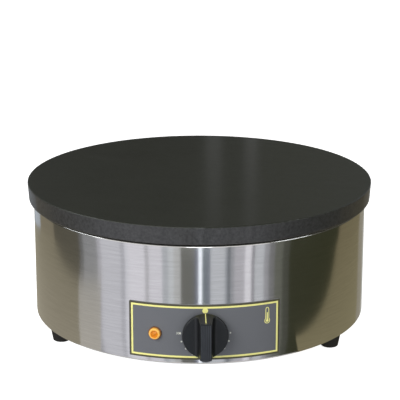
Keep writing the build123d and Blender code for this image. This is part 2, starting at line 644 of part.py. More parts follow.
def make_lamp_lens():
    """A domed amber cap with a faceted middle."""
    lens = Pos(0, 0, -1) * Cylinder(LENS_R, LENS_REACH + 1, align=UP)
    lens = fillet(lens.faces().sort_by(Axis.Z)[-1].edges(), 1.5)
    facets = Pos(0, 0, LENS_REACH) * extrude(RegularPolygon(4.3, 6), -1.2, taper=30)
    cone = Pos(0, 0, LENS_REACH - 1.3) * Cone(3.0, 0.3, 1.0, align=UP)
    return outside(FASCIA_R, lamp_frame() * (lens - facets + cone))


def make_lamp_bezel():
    ring = Pos(0, 0, -1) * Cylinder(BEZEL_R, BEZEL_REACH + 1, align=UP)
    ring = fillet(ring.faces().sort_by(Axis.Z)[-1].edges(), 0.6)
    ring = ring - Pos(0, 0, -2) * Cylinder(LENS_R + RUNNING_CLEARANCE, 6, align=UP)
    return outside(FASCIA_R, lamp_frame() * ring)


def make_lamp_body():
    """The neon lamp's tube with two blade terminals, held by the nut on its thread."""
    body = Pos(0, 0, -LAMP_TUBE_LENGTH) * Cylinder(LAMP_TUBE_R, LAMP_TUBE_LENGTH + 1, align=UP)
    body = body + Pos(0, 0, -LAMP_TUBE_LENGTH - 2) * Cylinder(4.0, 2, align=UP)
    for x in (-LAMP_BLADE_X, LAMP_BLADE_X):
        body = body + Pos(x, 0, -LAMP_BLADE_TIP) * Box(0.8, 3.0, 8, align=UP)
    return within(FASCIA_R, lamp_frame() * body)


def make_lamp_nut():
    nut = hexagon(14.0, -6.5, 0, bore=2 * (LAMP_TUBE_R + RUNNING_CLEARANCE))
    return within(DRUM_INNER_R, lamp_frame() * nut)


# ---- Wiring ---------------------------------------------------------------------------------
def make_terminal_block():
    """A ceramic block with three poles, each open to both sides, and two countersunk fixings."""
    width, depth, height = BLOCK_SIZE
    block = Pos(0, BLOCK_Y, BLOCK_Z) * Box(width, depth, height, align=UP)
    block = fillet(block.edges().filter_by(Axis.Z), 2.0)
    for x in POLE_XS:
        block = block - along_y(Cylinder(2.6, depth + 2), x, BLOCK_Y, ENTRY_Z)
        for y in (BLOCK_Y - POLE_SCREW_OFFSET_Y, BLOCK_Y + POLE_SCREW_OFFSET_Y):
            block = block - disc(2.1, ENTRY_Z, BLOCK_TOP_Z + 1, (x, y))
    for spot in BLOCK_SCREW_SPOTS:
        block = block - disc(1.9, BLOCK_Z - 1, BLOCK_TOP_Z + 1, spot)
        block = block - disc(3.6, BLOCK_TOP_Z - BLOCK_COUNTERBORE, BLOCK_TOP_Z + 1, spot)
    return block


def make_terminal_inserts():
    """A brass barrel in each pole, with its two clamping screws."""
    screw_top = BLOCK_TOP_Z - 2.0
    inserts = []
    for x in POLE_XS:
        insert = along_y(Cylinder(2.5, 19) - Cylinder(1.5, 19), x, BLOCK_Y, ENTRY_Z)
        for y in (BLOCK_Y - POLE_SCREW_OFFSET_Y, BLOCK_Y + POLE_SCREW_OFFSET_Y):
            screw = disc(2.0, ENTRY_Z + 2, screw_top, (x, y))
            slot = Pos(x, y, screw_top) * Box(5, 0.7, 1.6)
            insert = insert + (screw - slot)
        inserts.append(insert)
    return inserts


def make_block_screws():
    screw = pan_head_screw(3.4, 2.2, 1.8, BLOCK_SIZE[2] + 1.0)
    top = BLOCK_TOP_Z - BLOCK_COUNTERBORE
    return [Pos(x, y, top) * Rot(180, 0, 0) * screw for x, y in BLOCK_SCREW_SPOTS]


def make_earth_stud():
    """A stud through the bottom cover, with nuts that hold it and its wire's lug."""
    lug_z = DRUM_BOTTOM_Z + M4_NUT_H + 2.0
    stud = disc(M4_D / 2, FOOT_HEIGHT - 2, DRUM_BOTTOM_Z + 16, EARTH_SPOT)
    head = hexagon(M4_NUT_AF, FOOT_HEIGHT - 2.8, FOOT_HEIGHT, EARTH_SPOT)
    nut = hexagon(M4_NUT_AF, DRUM_BOTTOM_Z, DRUM_BOTTOM_Z + M4_NUT_H, EARTH_SPOT)
    lock = hexagon(M4_NUT_AF, lug_z, lug_z + M4_NUT_H, EARTH_SPOT)
    return stud + head + nut + lock


# The wires' points are chosen by hand, to lie clear of what they pass.
def make_wire_live():
    x = POLE_XS[0]
    points = [
        (x, ENTRY_Y, ENTRY_Z),
        (x, 95, ENTRY_Z),
        (-45, 40, 24),
        (-45, -60, 26),
        (-30, -110, 44),
        (TAB_XS[0], -140, TAB_Z),
        (TAB_XS[0], THERMOSTAT_BACK_Y + 9.2, TAB_Z),
    ]
    return wire_tube(points, [20, 30, 40, 25, 12], WIRE_D)


def make_wire_heater():
    x, y = OUTER_END
    points = [
        (TAB_XS[1], THERMOSTAT_BACK_Y + 9.2, TAB_Z),
        (TAB_XS[1], -140, TAB_Z),
        (50, -100, TAB_Z + 12),
        (130, -50, TAB_Z + 16),
        (x, y, STUD_TIP_Z - 14),
        (x, y, STUD_TIP_Z - 0.2),
    ]
    return wire_tube(points, [14, 25, 18, 6], WIRE_D)


def make_wire_neutral():
    x, y = INNER_END
    points = [
        (POLE_XS[1], ENTRY_Y, ENTRY_Z),
        (POLE_XS[1], 96, ENTRY_Z),
        (-20, 50, 50),
        (x, y, 84),
        (x, y, STUD_TIP_Z - 0.2),
    ]
    return wire_tube(points, [18, 30, 14], WIRE_D)


def make_wire_earth():
    points = [
        (POLE_XS[2], ENTRY_Y, ENTRY_Z),
        (POLE_XS[2], 104, ENTRY_Z),
        (40, 98, ENTRY_Z),
        (EARTH_SPOT[0], 112, DRUM_BOTTOM_Z + 5),
        (EARTH_SPOT[0], EARTH_SPOT[1] - 4.2, DRUM_BOTTOM_Z + 4.2),
    ]
    return wire_tube(points, [8, 9, 6], 1.9)


def make_lamp_wires():
    """The lamp's pair, from its blades to the thermostat tab and the neutral pole."""
    tip = -LAMP_BLADE_TIP - 0.2
    near = [(lamp_frame() * Pos(x, 0, tip)).position for x in (-LAMP_BLADE_X, LAMP_BLADE_X)]
    away = [(lamp_frame() * Pos(x, 0, tip - 20)).position for x in (-4, 4)]
    to_tab = [near[1], away[1], (-30, -128, TAB_Z), (-18, -134, TAB_Z + 6)]
    to_block = [near[0], away[0], (-60, -60, 30), (-60, 40, 30), (-30, 112, 34), (-26, 122, 38)]
    return [wire_tube(to_tab, [6, 6], THIN_WIRE_D), wire_tube(to_block, [20, 40, 30, 8], THIN_WIRE_D)]


def make_capillary_tube():
    """From the bulb under the plate, down through the insulation, to the thermostat's port."""
    x, y = CAPILLARY_DROP
    port_x, port_y, port_z = CAPILLARY_PORT
    over_port_z = 92
    points = [
        (BULB_ENDS_X[1], y, BULB_Z),
        (x, y, BULB_Z),
        (x, y, 100),
        (26, -148, over_port_z),
        (port_x, port_y, over_port_z),
        (port_x, port_y, port_z + 3),
    ]
    return wire_tube(points, [8, 12, 10, 8], CAPILLARY_D)


# ---- Cable gland ------------------------------------------------------------------------------
# Each piece is drawn along +Z, with z = 0 on the drum wall, and is then set in the gland's frame.
def gland_frame():
    return wall_frame(GLAND_ANGLE, GLAND_Z, DRUM_R)


def make_gland_washer():
    ring = Pos(0, 0, -1) * (Cylinder(13.5, 3.0, align=UP) - Cylinder(GLAND_THREAD_R + 0.1, 3.0, align=UP))
    return gland_frame() * ring - disc(DRUM_R, GLAND_Z - 20, GLAND_Z + 20)


def make_gland_body():
    flange = hexagon(24.0, 2.0, 8.0)
    neck = Pos(0, 0, -9) * Cylinder(GLAND_THREAD_R, 11, align=UP)
    nose = Pos(0, 0, 8) * Cylinder(8.4, 9, align=UP)
    bore = Pos(0, 0, -15) * Cylinder(6.5, 40, align=UP)
    return gland_frame() * (flange + neck + nose - bore)


def make_gland_lock_nut():
    nut = hexagon(25.0, -7.5, 0, bore=2 * (GLAND_THREAD_R + RUNNING_CLEARANCE))
    return gland_frame() * nut & disc(DRUM_INNER_R, GLAND_Z - 20, GLAND_Z + 20)


def make_gland_seal():
    """The rubber sleeve that the cap nut squeezes on the cable."""
    seal = Pos(0, 0, 4) * Cylinder(6.45, 15, align=UP) + Pos(0, 0, 17.05) * Cylinder(7.6, 3.0, align=UP)
    seal = seal - Pos(0, 0, 3) * Cylinder(CABLE_BORE_D / 2, 20, align=UP)
    return gland_frame() * seal


def make_gland_cap():
    dome_low = 17.0
    grip = hexagon(22.0, 8.1, dome_low)
    dome = Pos(0, 0, dome_low) * Cone(11.0, 7.4, GLAND_REACH - dome_low, align=UP)
    dome = fillet(dome.faces().sort_by(Axis.Z)[-1].edges(), 2.0)
    cap = grip + dome
    for radius, low, length in ((8.5, 8.0, 9.0), (7.7, 16.9, 3.3), (5.2, 20.0, 20.0)):
        cap = cap - Pos(0, 0, low) * Cylinder(radius, length, align=UP)
    return gland_frame() * cap


# ---- Assembly ---------------------------------------------------------------------------------
def group(solids):
    return Compound(children=list(solids))


NODES = {
    "griddle_plate": make_griddle_plate(),
    "heating_element": spiral_tube(ELEMENT_D / 2),
    "element_ceramics": group(make_element_ceramics()),
    "element_studs": group(make_element_studs()),
    "clamp_spider": make_clamp_spider(),
    "spider_stud": make_spider_stud(),
    "spider_nut": make_spider_nut(),
    "sensor_bulb": make_sensor_bulb(),
    "sensor_clip": make_sensor_clip(),
    "capillary_tube": make_capillary_tube(),
    "reflector_sheet": make_reflector_sheet(),
    "insulation_disc": make_insulation_disc(),
    "heat_shield_pan": make_heat_shield_pan(),
    "tie_rods": group(make_tie_rods()),
    "rod_nuts": group(make_rod_nuts()),
    "lower_sleeves": group(make_sleeves(FLANGE_TOP_Z + M8_NUT_H, PAN_Z)),
    "upper_sleeves": group(make_sleeves(PAN_FLOOR_Z, BOSS_Z)),
    "drum_shell": make_drum_shell(),
    "base_plate": make_base_plate(),
    "base_screws": group(make_base_screws()),
    "control_fascia": make_control_fascia(),
    "thermostat_plate": make_thermostat_plate(),
    "thermostat_body": make_thermostat_body(),
    "thermostat_tabs": group(make_thermostat_tabs()),
    "thermostat_screws": group(make_thermostat_screws()),
    "thermostat_shaft": make_thermostat_shaft(),
    "knob": make_knob(),
    "knob_spring": make_knob_spring(),
    "pilot_lamp_lens": make_lamp_lens(),
    "pilot_lamp_bezel": make_lamp_bezel(),
    "pilot_lamp_body": make_lamp_body(),
    "pilot_lamp_nut": make_lamp_nut(),
    "terminal_block": make_terminal_block(),
    "terminal_inserts": group(make_terminal_inserts()),
    "terminal_block_screws": group(make_block_screws()),
    "earth_stud": make_earth_stud(),
    "wire_live": make_wire_live(),
    "wire_heater": make_wire_heater(),
    "wire_neutral": make_wire_neutral(),
    "wire_earth": make_wire_earth(),
    "wires_lamp": group(make_lamp_wires()),
    "gland_washer": make_gland_washer(),
    "gland_body": make_gland_body(),
    "gland_lock_nut": make_gland_lock_nut(),
    "gland_seal": make_gland_seal(),
    "gland_cap": make_gland_cap(),
}
for foot_name, foot_angle in FOOT_ANGLES.items():
    NODES[foot_name] = make_foot(polar(FOOT_PITCH_R, foot_angle))

export_all(NODES)
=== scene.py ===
"""Electric crepe maker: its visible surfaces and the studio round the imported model.

Laid out as a Blender add-on and run as a script. All lengths are in metres. Z points up,
the floor is z = 0 and the control panel faces -Y.
"""

import json
import math

import bmesh
import bpy
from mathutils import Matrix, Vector


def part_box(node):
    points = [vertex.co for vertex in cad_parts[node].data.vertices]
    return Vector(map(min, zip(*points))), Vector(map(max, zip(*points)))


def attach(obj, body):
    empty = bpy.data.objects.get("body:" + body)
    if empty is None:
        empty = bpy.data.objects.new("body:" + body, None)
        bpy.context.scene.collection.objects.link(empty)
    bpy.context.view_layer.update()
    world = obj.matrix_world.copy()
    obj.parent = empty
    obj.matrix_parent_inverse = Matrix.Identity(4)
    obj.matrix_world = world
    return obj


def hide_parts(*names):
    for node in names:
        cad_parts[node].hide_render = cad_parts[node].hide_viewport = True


bl_info = {
    "name": "Crepe Maker Dresser",
    "version": (1, 0, 0),
    "blender": (4, 5, 0),
    "location": "3D View > Sidebar > Crepe Maker",
    "description": "Models the surfaces of an electric crepe maker round its CAD frame",
    "category": "Object",
}

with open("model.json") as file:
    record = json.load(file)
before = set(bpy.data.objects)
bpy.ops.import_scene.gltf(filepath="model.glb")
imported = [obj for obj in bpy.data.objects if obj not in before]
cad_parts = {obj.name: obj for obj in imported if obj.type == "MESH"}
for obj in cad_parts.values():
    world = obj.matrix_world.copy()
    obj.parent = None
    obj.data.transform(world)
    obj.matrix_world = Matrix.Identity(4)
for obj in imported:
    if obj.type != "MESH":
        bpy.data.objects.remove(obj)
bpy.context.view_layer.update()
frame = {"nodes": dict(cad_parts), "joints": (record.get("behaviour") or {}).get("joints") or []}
NODES = frame["nodes"]
MACHINE = "machine"
CONTROL_KNOB = "control_knob"
MM = 0.001


# ---- Places read from the frame ------------------------------------------------------------
def rounded(value):
    """A CAD size to a tenth of a millimetre: the frame's round walls are many-sided."""
    return round(value, 4)


def middle_of(name):
    """The middle of a CAD node's box."""
    low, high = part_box(name)
    return (low + high) / 2


DRUM_LOW, DRUM_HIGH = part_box("drum_shell")
PLATE_LOW, PLATE_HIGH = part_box("griddle_plate")
FASCIA_LOW, FASCIA_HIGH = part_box("control_fascia")
KNOB_LOW, KNOB_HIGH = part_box("knob")
KNOB_MIDDLE_Y = (KNOB_LOW.y + KNOB_HIGH.y) / 2
KNOB_Z = frame["joints"][0]["pos_m"][2]
GLAND_MIDDLE = middle_of("gland_washer")
LAMP_MIDDLE = middle_of("pilot_lamp_bezel")
LENS_MIDDLE = middle_of("pilot_lamp_lens")
DRUM_RADIUS = rounded(DRUM_HIGH.y)
FASCIA_RADIUS = rounded(-FASCIA_LOW.y)
FASCIA_ARC_WIDTH = 2 * FASCIA_RADIUS * math.asin(FASCIA_HIGH.x / FASCIA_RADIUS)
FASCIA_MIDDLE_Z = (FASCIA_LOW.z + FASCIA_HIGH.z) / 2
FASCIA_HEIGHT = FASCIA_HIGH.z - FASCIA_LOW.z
SHAFT_MIDDLE = Vector((0, -DRUM_RADIUS, KNOB_Z))

# The holes in the drum's wall and the panel, by radius.
LAMP_HOLE = 5.1 * MM
SHAFT_HOLE = 6.0 * MM
GLAND_HOLE = 10.1 * MM


def from_hex(colour):
    """An sRGB hex value as linear red, green, blue."""
    channels = [int(colour[i : i + 2], 16) / 255 for i in (1, 3, 5)]
    return tuple(c / 12.92 if c <= 0.04045 else ((c + 0.055) / 1.055) ** 2.4 for c in channels)


# ---- What a user may change ----------------------------------------------------------------
class CrepeSizes(bpy.types.PropertyGroup):
    drum_radius: bpy.props.FloatProperty(
        name="Drum radius",
        description="Outer radius of the stainless drum",
        default=DRUM_RADIUS,
        unit="LENGTH",
    )
    drum_sheet: bpy.props.FloatProperty(
        name="Drum sheet",
        description="Thickness of the drum's sheet",
        default=0.8 * MM,
        unit="LENGTH",
    )
    drum_edge: bpy.props.FloatProperty(
        name="Drum edge",
        description="Outer bend radius at both ends",
        default=2.0 * MM,
        unit="LENGTH",
    )
    drum_lip: bpy.props.FloatProperty(
        name="Drum lip",
        description="Inner radius of the lip under the plate",
        default=187.0 * MM,
        unit="LENGTH",
    )
    drum_flange: bpy.props.FloatProperty(
        name="Drum flange",
        description="Inner radius of the bottom flange",
        default=166.0 * MM,
        unit="LENGTH",
    )
    fascia_margin: bpy.props.FloatProperty(
        name="Fascia margin",
        description="Dark margin outside the frame line",
        default=2.15 * MM,
        unit="LENGTH",
    )
    frame_line: bpy.props.FloatProperty(
        name="Frame line",
        description="Width of the printed frame line",
        default=2.0 * MM,
        unit="LENGTH",
    )
    ink: bpy.props.FloatProperty(
        name="Ink",
        description="Thickness of the printed ink, drawn thicker to show",
        default=0.06 * MM,
        unit="LENGTH",
    )
    dot_radius: bpy.props.FloatProperty(
        name="Dot radius",
        description="Radius of the dot above the knob",
        default=3.05 * MM,
        unit="LENGTH",
    )
    dot_height: bpy.props.FloatProperty(
        name="Dot height",
        description="Dot's middle above the knob's axis",
        default=26.0 * MM,
        unit="LENGTH",
    )
    tick_radius: bpy.props.FloatProperty(
        name="Tick radius",
        description="Distance of the scale marks from the axis",
        default=27.1 * MM,
        unit="LENGTH",
    )


class CrepeColours(bpy.types.PropertyGroup):
    fascia_grey: bpy.props.FloatVectorProperty(
        name="Fascia grey",
        description="Lacquer of the control panel",
        default=from_hex("#696B6F"),
        subtype="COLOR",
    )
    fascia_margin: bpy.props.FloatVectorProperty(
        name="Fascia margin",
        description="Print outside the frame line",
        default=from_hex("#4E4B36"),
        subtype="COLOR",
    )
    ink_yellow: bpy.props.FloatVectorProperty(
        name="Yellow ink",
        description="Frame line, dot and symbol",
        default=from_hex("#FFFA9C"),
        subtype="COLOR",
    )
    ink_pale: bpy.props.FloatVectorProperty(
        name="Pale ink",
        description="Scale marks and numeral",
        default=from_hex("#E2E4D8"),
        subtype="COLOR",
    )
    iron: bpy.props.FloatVectorProperty(
        name="Iron",
        description="Seasoned cooking surface",
        default=from_hex("#2A2C24"),
        subtype="COLOR",
    )
    # The rim's colour is partly its cast skin and partly painted light: it is lighter than the top, as
    # the rim's lit side looks.
    iron_rim_with_painted_light: bpy.props.FloatVectorProperty(
        name="Iron rim",
        description="The plate's cast rim",
        default=from_hex("#343434"),
        subtype="COLOR",
    )
    phenolic: bpy.props.FloatVectorProperty(
        name="Phenolic",
        description="Knob moulding",
        default=from_hex("#17191B"),
        subtype="COLOR",
    )
    # Lighter than the knob's body: a painted highlight on the grip's ribs, standing in for the light
    # they catch.
    phenolic_painted_highlight: bpy.props.FloatVectorProperty(
        name="Phenolic painted highlight",
        description="The grip's ribs, lighter as a painted highlight",
        default=from_hex("#373A3F"),
        subtype="COLOR",
    )
    amber: bpy.props.FloatVectorProperty(
        name="Amber",
        description="Rim of the pilot lamp's lens",
        default=from_hex("#FFC35C"),
        subtype="COLOR",
    )
    amber_middle: bpy.props.FloatVectorProperty(
        name="Amber middle",
        description="Faceted middle of the lens",
        default=from_hex("#D27E00"),
        subtype="COLOR",
    )
    bezel: bpy.props.FloatVectorProperty(
        name="Bezel",
        description="Pilot lamp's flange",
        default=from_hex("#7A4A1C"),
        subtype="COLOR",
    )


# ---- Modelling helpers ---------------------------------------------------------------------
UPRIGHT = (math.radians(90), 0, 0)
WRAP_STEP = 2.0 * MM
DRILL_LENGTH = 24 * MM
DRILL_SIDES = 48
SHARP_ABOVE = math.radians(30)
MERGE_WITHIN = 1e-6
MERGE_WITHIN_PRINT = 1e-7


def object_mode():
    if bpy.context.object and bpy.context.object.mode != "OBJECT":
        bpy.ops.object.mode_set(mode="OBJECT")


def clear_selection():
    object_mode()
    bpy.ops.object.select_all(action="DESELECT")


def choose(*pieces):
    """Select these pieces alone, and make the first one active."""
    clear_selection()
    for piece in pieces:
        piece.select_set(True)
    bpy.context.view_layer.objects.active = pieces[0]


def edit_all():
    """Enter edit mode with the whole of the active piece selected."""
    bpy.ops.object.mode_set(mode="EDIT")
    bpy.ops.mesh.select_all(action="SELECT")


def newest(name):
    """The object that was added last, under its own name."""
    bpy.context.object.name = name
    return bpy.context.object


def pick_vertices(test):
    """In edit mode, select only the vertices whose place passes the test."""
    bpy.ops.mesh.select_mode(type="VERT")
    bpy.ops.mesh.select_all(action="DESELECT")
    mesh = bmesh.from_edit_mesh(bpy.context.object.data)
    for vertex in mesh.verts:
        if test(vertex.co):
            vertex.select_set(True)
    mesh.select_flush_mode()
    bmesh.update_edit_mesh(bpy.context.object.data)


def arc(centre_r, centre_z, radius, start, end, steps):
    """Ring places (radius, height) along an arc of a section, angles in degrees from outwards."""
    turns = [math.radians(start + (end - start) * i / steps) for i in range(steps + 1)]
    return [(centre_r + radius * math.cos(t), centre_z + radius * math.sin(t)) for t in turns]


def turned(name, rings, sides):
    """A turned piece: a circle, extruded and scaled to each further ring of its section."""
    clear_selection()
    first_r, first_z = rings[0]
    bpy.ops.mesh.primitive_circle_add(vertices=sides, radius=first_r, location=(0, 0, first_z))
    piece = newest(name)
    piece.data.name = name
    edit_all()
    for (old_r, old_z), (new_r, new_z) in zip(rings, rings[1:]):
        bpy.ops.mesh.extrude_region_move(TRANSFORM_OT_translate={"value": (0, 0, new_z - old_z)})
        scale = new_r / old_r
        bpy.ops.transform.resize(value=(scale, scale, 1), center_override=(0, 0, 0))
    bpy.ops.mesh.select_all(action="SELECT")
    bpy.ops.mesh.remove_doubles(threshold=MERGE_WITHIN)
    bpy.ops.mesh.normals_make_consistent(inside=False)
    object_mode()
    return piece


def settle(piece):
    """Put a piece's place, turn and size into its mesh."""
    choose(piece)
    bpy.ops.object.transform_apply(location=True, rotation=True, scale=True)
    return piece


def run_modifier(piece, kind, **settings):
    """Give a piece one modifier and apply it."""
    choose(piece)
    modifier = piece.modifiers.new(kind.title(), kind)
    for key, value in settings.items():
        setattr(modifier, key, value)
    bpy.ops.object.modifier_apply(modifier=modifier.name)


def smooth(piece):
    """Shade a piece smooth, but for its sharp edges."""
    choose(piece)
    bpy.ops.object.shade_smooth_by_angle(angle=SHARP_ABOVE)


def outward_at(spot):
    """The level direction from the drum's axis to a place."""
    return Vector((spot.x, spot.y, 0)).normalized()


def drill_wall(piece, spot, radius):
    """Cut a round hole through the drum's wall or the panel, square to it."""
    clear_selection()
    outward = outward_at(spot)
    middle = outward * DRUM_RADIUS + Vector((0, 0, spot.z))
    turn = Vector((0, 0, 1)).rotation_difference(outward).to_euler()
    bpy.ops.mesh.primitive_cylinder_add(
        vertices=DRILL_SIDES, radius=radius, depth=DRILL_LENGTH, location=middle, rotation=turn
    )
    cutter = settle(bpy.context.object)
    run_modifier(piece, "BOOLEAN", object=cutter, operation="DIFFERENCE", solver="EXACT")
    bpy.data.objects.remove(cutter, do_unlink=True)


def dress(piece, material, body=MACHINE, replaced=()):
    """Finish a new piece: its material, its body and the CAD nodes it stands for."""
    settle(piece)
    piece.data.materials.clear()
    piece.data.materials.append(material)
    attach(piece, body)
    if replaced:
        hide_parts(*replaced)


def dress_node(name, material):
    """Give a CAD node its finish and leave its shape as it is."""
    node = NODES[name]
    node.data.materials.clear()
    node.data.materials.append(material)


def wall_point(arc_x, z, radius):
    """A place on the drum's wall, from its arc length to the right of the middle."""
    turn = arc_x / radius
    return Vector((radius * math.sin(turn), -radius * math.cos(turn), z))


def wrap_on_wall(piece, radius, thickness):
    """Bend a flat piece, drawn in the XZ plane, round the drum, and give it its thickness."""
    settle(piece)
    low = min(v.co.x for v in piece.data.vertices)
    high = max(v.co.x for v in piece.data.vertices)
    edit_all()
    for step in range(1, int((high - low) / WRAP_STEP) + 1):
        bpy.ops.mesh.select_all(action="SELECT")
        bpy.ops.mesh.bisect(plane_co=(low + step * WRAP_STEP, 0, 0), plane_no=(1, 0, 0))
    bpy.ops.mesh.select_all(action="SELECT")
    bpy.ops.mesh.remove_doubles(threshold=MERGE_WITHIN_PRINT)
    mesh = bmesh.from_edit_mesh(piece.data)
    for face in mesh.faces:
        if face.normal.y > 0:
            face.normal_flip()
    for vertex in mesh.verts:
        vertex.co = wall_point(vertex.co.x, vertex.co.z, radius)
    bmesh.update_edit_mesh(piece.data)
    object_mode()
    run_modifier(piece, "SOLIDIFY", thickness=thickness, offset=1.0)


def flat_plate(name, width, height, z):
    """A flat rectangle in the XZ plane, on the machine's middle."""
    clear_selection()
    bpy.ops.mesh.primitive_plane_add(size=1, location=(0, 0, z), rotation=UPRIGHT)
    piece = newest(name)
    piece.scale = (width, height, 1)
    return settle(piece)


def flat_disc(name, radius, x, z, sides=32):
    """A flat disc in the XZ plane."""
    clear_selection()
    bpy.ops.mesh.primitive_circle_add(
        vertices=sides, radius=radius, fill_type="NGON", location=(x, 0, z), rotation=UPRIGHT
    )
    return settle(newest(name))


def join(pieces, name):
    """Make several pieces one."""
    choose(*pieces)
    bpy.ops.object.join()
    pieces[0].name = name
    return pieces[0]


# ---- Materials -----------------------------------------------------------------------------
WHERE = "ShaderNodeTexCoord"
NOISE = "ShaderNodeTexNoise"
RANGE = "ShaderNodeMapRange"
MIX = "ShaderNodeMix"
BUMP = "ShaderNodeBump"
WHITE = from_hex("#FFFFFF")

# A noise pattern keeps mostly between these two.
NOISE_SPREAD = {"From Min": 0.3, "From Max": 0.7}


def fill(tree, node, inputs):
    """Fill a node's inputs. A node given stands for its first output in use, a socket is linked,
    and anything else is the input's own value."""
    for key, value in inputs.items():
        if isinstance(value, bpy.types.Node):
            value = next(socket for socket in value.outputs if socket.enabled)
        if isinstance(value, bpy.types.NodeSocket):
            tree.links.new(value, node.inputs[key])
        else:
            node.inputs[key].default_value = value


def add_node(tree, kind, inputs=None, **settings):
    """Add a node with its settings, its values and its links."""
    node = tree.nodes.new(kind)
    for key, value in settings.items():
        setattr(node, key, value)
    fill(tree, node, inputs or {})
    return node


def shade_of(colour, factor=1.0):
    """A colour made darker or lighter, as a node holds it."""
    return (*(c * factor for c in colour), 1)


def blank_material(name):
    material = bpy.data.materials.new(name)
    material.use_nodes = True
    material.node_tree.nodes.clear()
    return material, material.node_tree


def new_material(name, colour, **inputs):
    """A material with one shader, its plain values set on the shader's own sockets."""
    material, tree = blank_material(name)
    shader = add_node(tree, "ShaderNodeBsdfPrincipled", {"Base Color": shade_of(colour)})
    fill(tree, shader, {key.replace("_", " "): value for key, value in inputs.items()})
    add_node(tree, "ShaderNodeOutputMaterial", {"Surface": shader})
    return material, tree, shader


def vary(tree, shader, pattern, shades, roughness):
    """Let a soft pattern carry a finish between two shades and between two roughnesses."""
    dark, light = shades
    low, high = roughness
    shade = add_node(tree, MIX, {"Factor": pattern, "A": dark, "B": light}, data_type="RGBA")
    gloss = add_node(tree, RANGE, {"Value": pattern, **NOISE_SPREAD, "To Min": low, "To Max": high})
    fill(tree, shader, {"Base Color": shade, "Roughness": gloss})


def seasoned_cast_iron(colour, rim_colour_with_painted_light):
    """Grey cast iron, turned flat and oil-seasoned: a fine grain under a thin dark glossy film.
    The rim keeps its cast skin, and is also coloured lighter than the top as painted light on its lit
    side; the underside is bare, dull grey metal."""
    material, tree, shader = new_material(
        "seasoned_cast_iron", colour, Roughness=0.5, Coat_Weight=0.3, Coat_Roughness=0.11
    )
    where = add_node(tree, WHERE).outputs["Object"]
    clouds = add_node(
        tree, NOISE, {"Vector": where, "Scale": 1 / (50 * MM), "Detail": 7, "Roughness": 0.78}
    )
    # Moulding sand is under 1 mm across: its marks on the rim are drawn 3 mm wide, so that they show.
    sand = add_node(tree, NOISE, {"Vector": where, "Scale": 1 / (3 * MM), "Detail": 3, "Roughness": 0.7})
    grain = add_node(tree, NOISE, {"Vector": where, "Scale": 1 / (1.1 * MM), "Detail": 3})
    faint_grain = add_node(tree, RANGE, {"Value": grain, "To Max": 0.45})
    height = add_node(tree, "ShaderNodeSeparateXYZ", {"Vector": where}).outputs["Z"]
    low, high = PLATE_LOW.z, PLATE_HIGH.z
    on_top = add_node(
        tree, RANGE, {"Value": height, "From Min": high - 1.2 * MM, "From Max": high - 0.6 * MM}
    )
    off_floor = add_node(
        tree, RANGE, {"Value": height, "From Min": low + 0.1 * MM, "From Max": low + 0.4 * MM}
    )
    marks = add_node(tree, RANGE, {"Value": sand, "From Min": 0.35, "From Max": 0.65})
    # The rim's sand-marked colour is partly its cast skin and partly painted light, lighter than the
    # top.
    dark, light = shade_of(rim_colour_with_painted_light, 0.6), shade_of(rim_colour_with_painted_light, 1.4)
    cast = add_node(tree, MIX, {"Factor": marks, "A": dark, "B": light}, data_type="RGBA")
    bare = shade_of(from_hex("#8E8D89"))
    side = add_node(tree, MIX, {"Factor": off_floor, "A": bare, "B": cast}, data_type="RGBA")
    dark, light = shade_of(colour, 0.72), shade_of(colour, 1.32)
    top = add_node(tree, MIX, {"Factor": clouds, "A": dark, "B": light}, data_type="RGBA")
    both = add_node(tree, MIX, {"Factor": on_top, "A": side, "B": top}, data_type="RGBA")
    gloss = add_node(tree, RANGE, {"Value": clouds, **NOISE_SPREAD, "To Min": 0.44, "To Max": 0.56})
    skin = add_node(tree, MIX, {"Factor": on_top, "A": sand, "B": faint_grain})
    bump = add_node(tree, BUMP, {"Height": skin, "Distance": 0.12 * MM, "Strength": 0.8})
    fill(tree, shader, {"Base Color": both, "Roughness": gloss, "Normal": bump})
    return material


def brushed_stainless():
    """Type 304 sheet, brushed round the drum: streaks of light stand upright across the grain."""
    material, tree, shader = new_material(
        "brushed_stainless_304", from_hex("#CFCDCA"), Metallic=1.0, Roughness=0.134, Anisotropic=0.86,
        Anisotropic_Rotation=0.25,
    )
    tangent = add_node(tree, "ShaderNodeTangent", direction_type="RADIAL", axis="Z")
    where = add_node(tree, WHERE).outputs["Object"]
    # The brush's scratches are 0.1 mm apart: drawn 1 to 2 mm apart, so that they show.
    squeezed = add_node(tree, "ShaderNodeMapping", {"Vector": where, "Scale": (1, 1, 26)})
    hairlines = add_node(
        tree, NOISE, {"Vector": squeezed, "Scale": 1 / (40 * MM), "Detail": 6, "Roughness": 0.8}
    )
    gloss = add_node(tree, RANGE, {"Value": hairlines, **NOISE_SPREAD, "To Min": 0.128, "To Max": 0.14})
    lines = add_node(tree, RANGE, {"Value": hairlines, "From Min": 0.36, "From Max": 0.64})
    dark, light = shade_of(from_hex("#CAC8C5")), shade_of(from_hex("#D5D3D0"))
    steel = add_node(tree, MIX, {"Factor": lines, "A": dark, "B": light}, data_type="RGBA")
    bump = add_node(tree, BUMP, {"Height": hairlines, "Distance": 0.0006 * MM, "Strength": 1.0})
    fill(tree, shader, {"Base Color": steel, "Roughness": gloss, "Tangent": tangent, "Normal": bump})
    return material


def printed_lacquer(name, colour):
    """Satin screen-printed lacquer on sheet metal, with a faint orange-peel."""
    material, tree, shader = new_material(name, colour, Roughness=0.42)
    where = add_node(tree, WHERE).outputs["Object"]
    clouds = add_node(tree, NOISE, {"Vector": where, "Scale": 1 / (30 * MM), "Detail": 3})
    peel = add_node(tree, NOISE, {"Vector": where, "Scale": 1 / (1.6 * MM), "Detail": 2})
    bump = add_node(tree, BUMP, {"Height": peel, "Distance": 0.01 * MM, "Strength": 0.5})
    shades = (shade_of(colour, 0.95), shade_of(colour, 1.05))
    vary(tree, shader, clouds, shades, (0.38, 0.46))
    fill(tree, shader, {"Normal": bump})
    return material


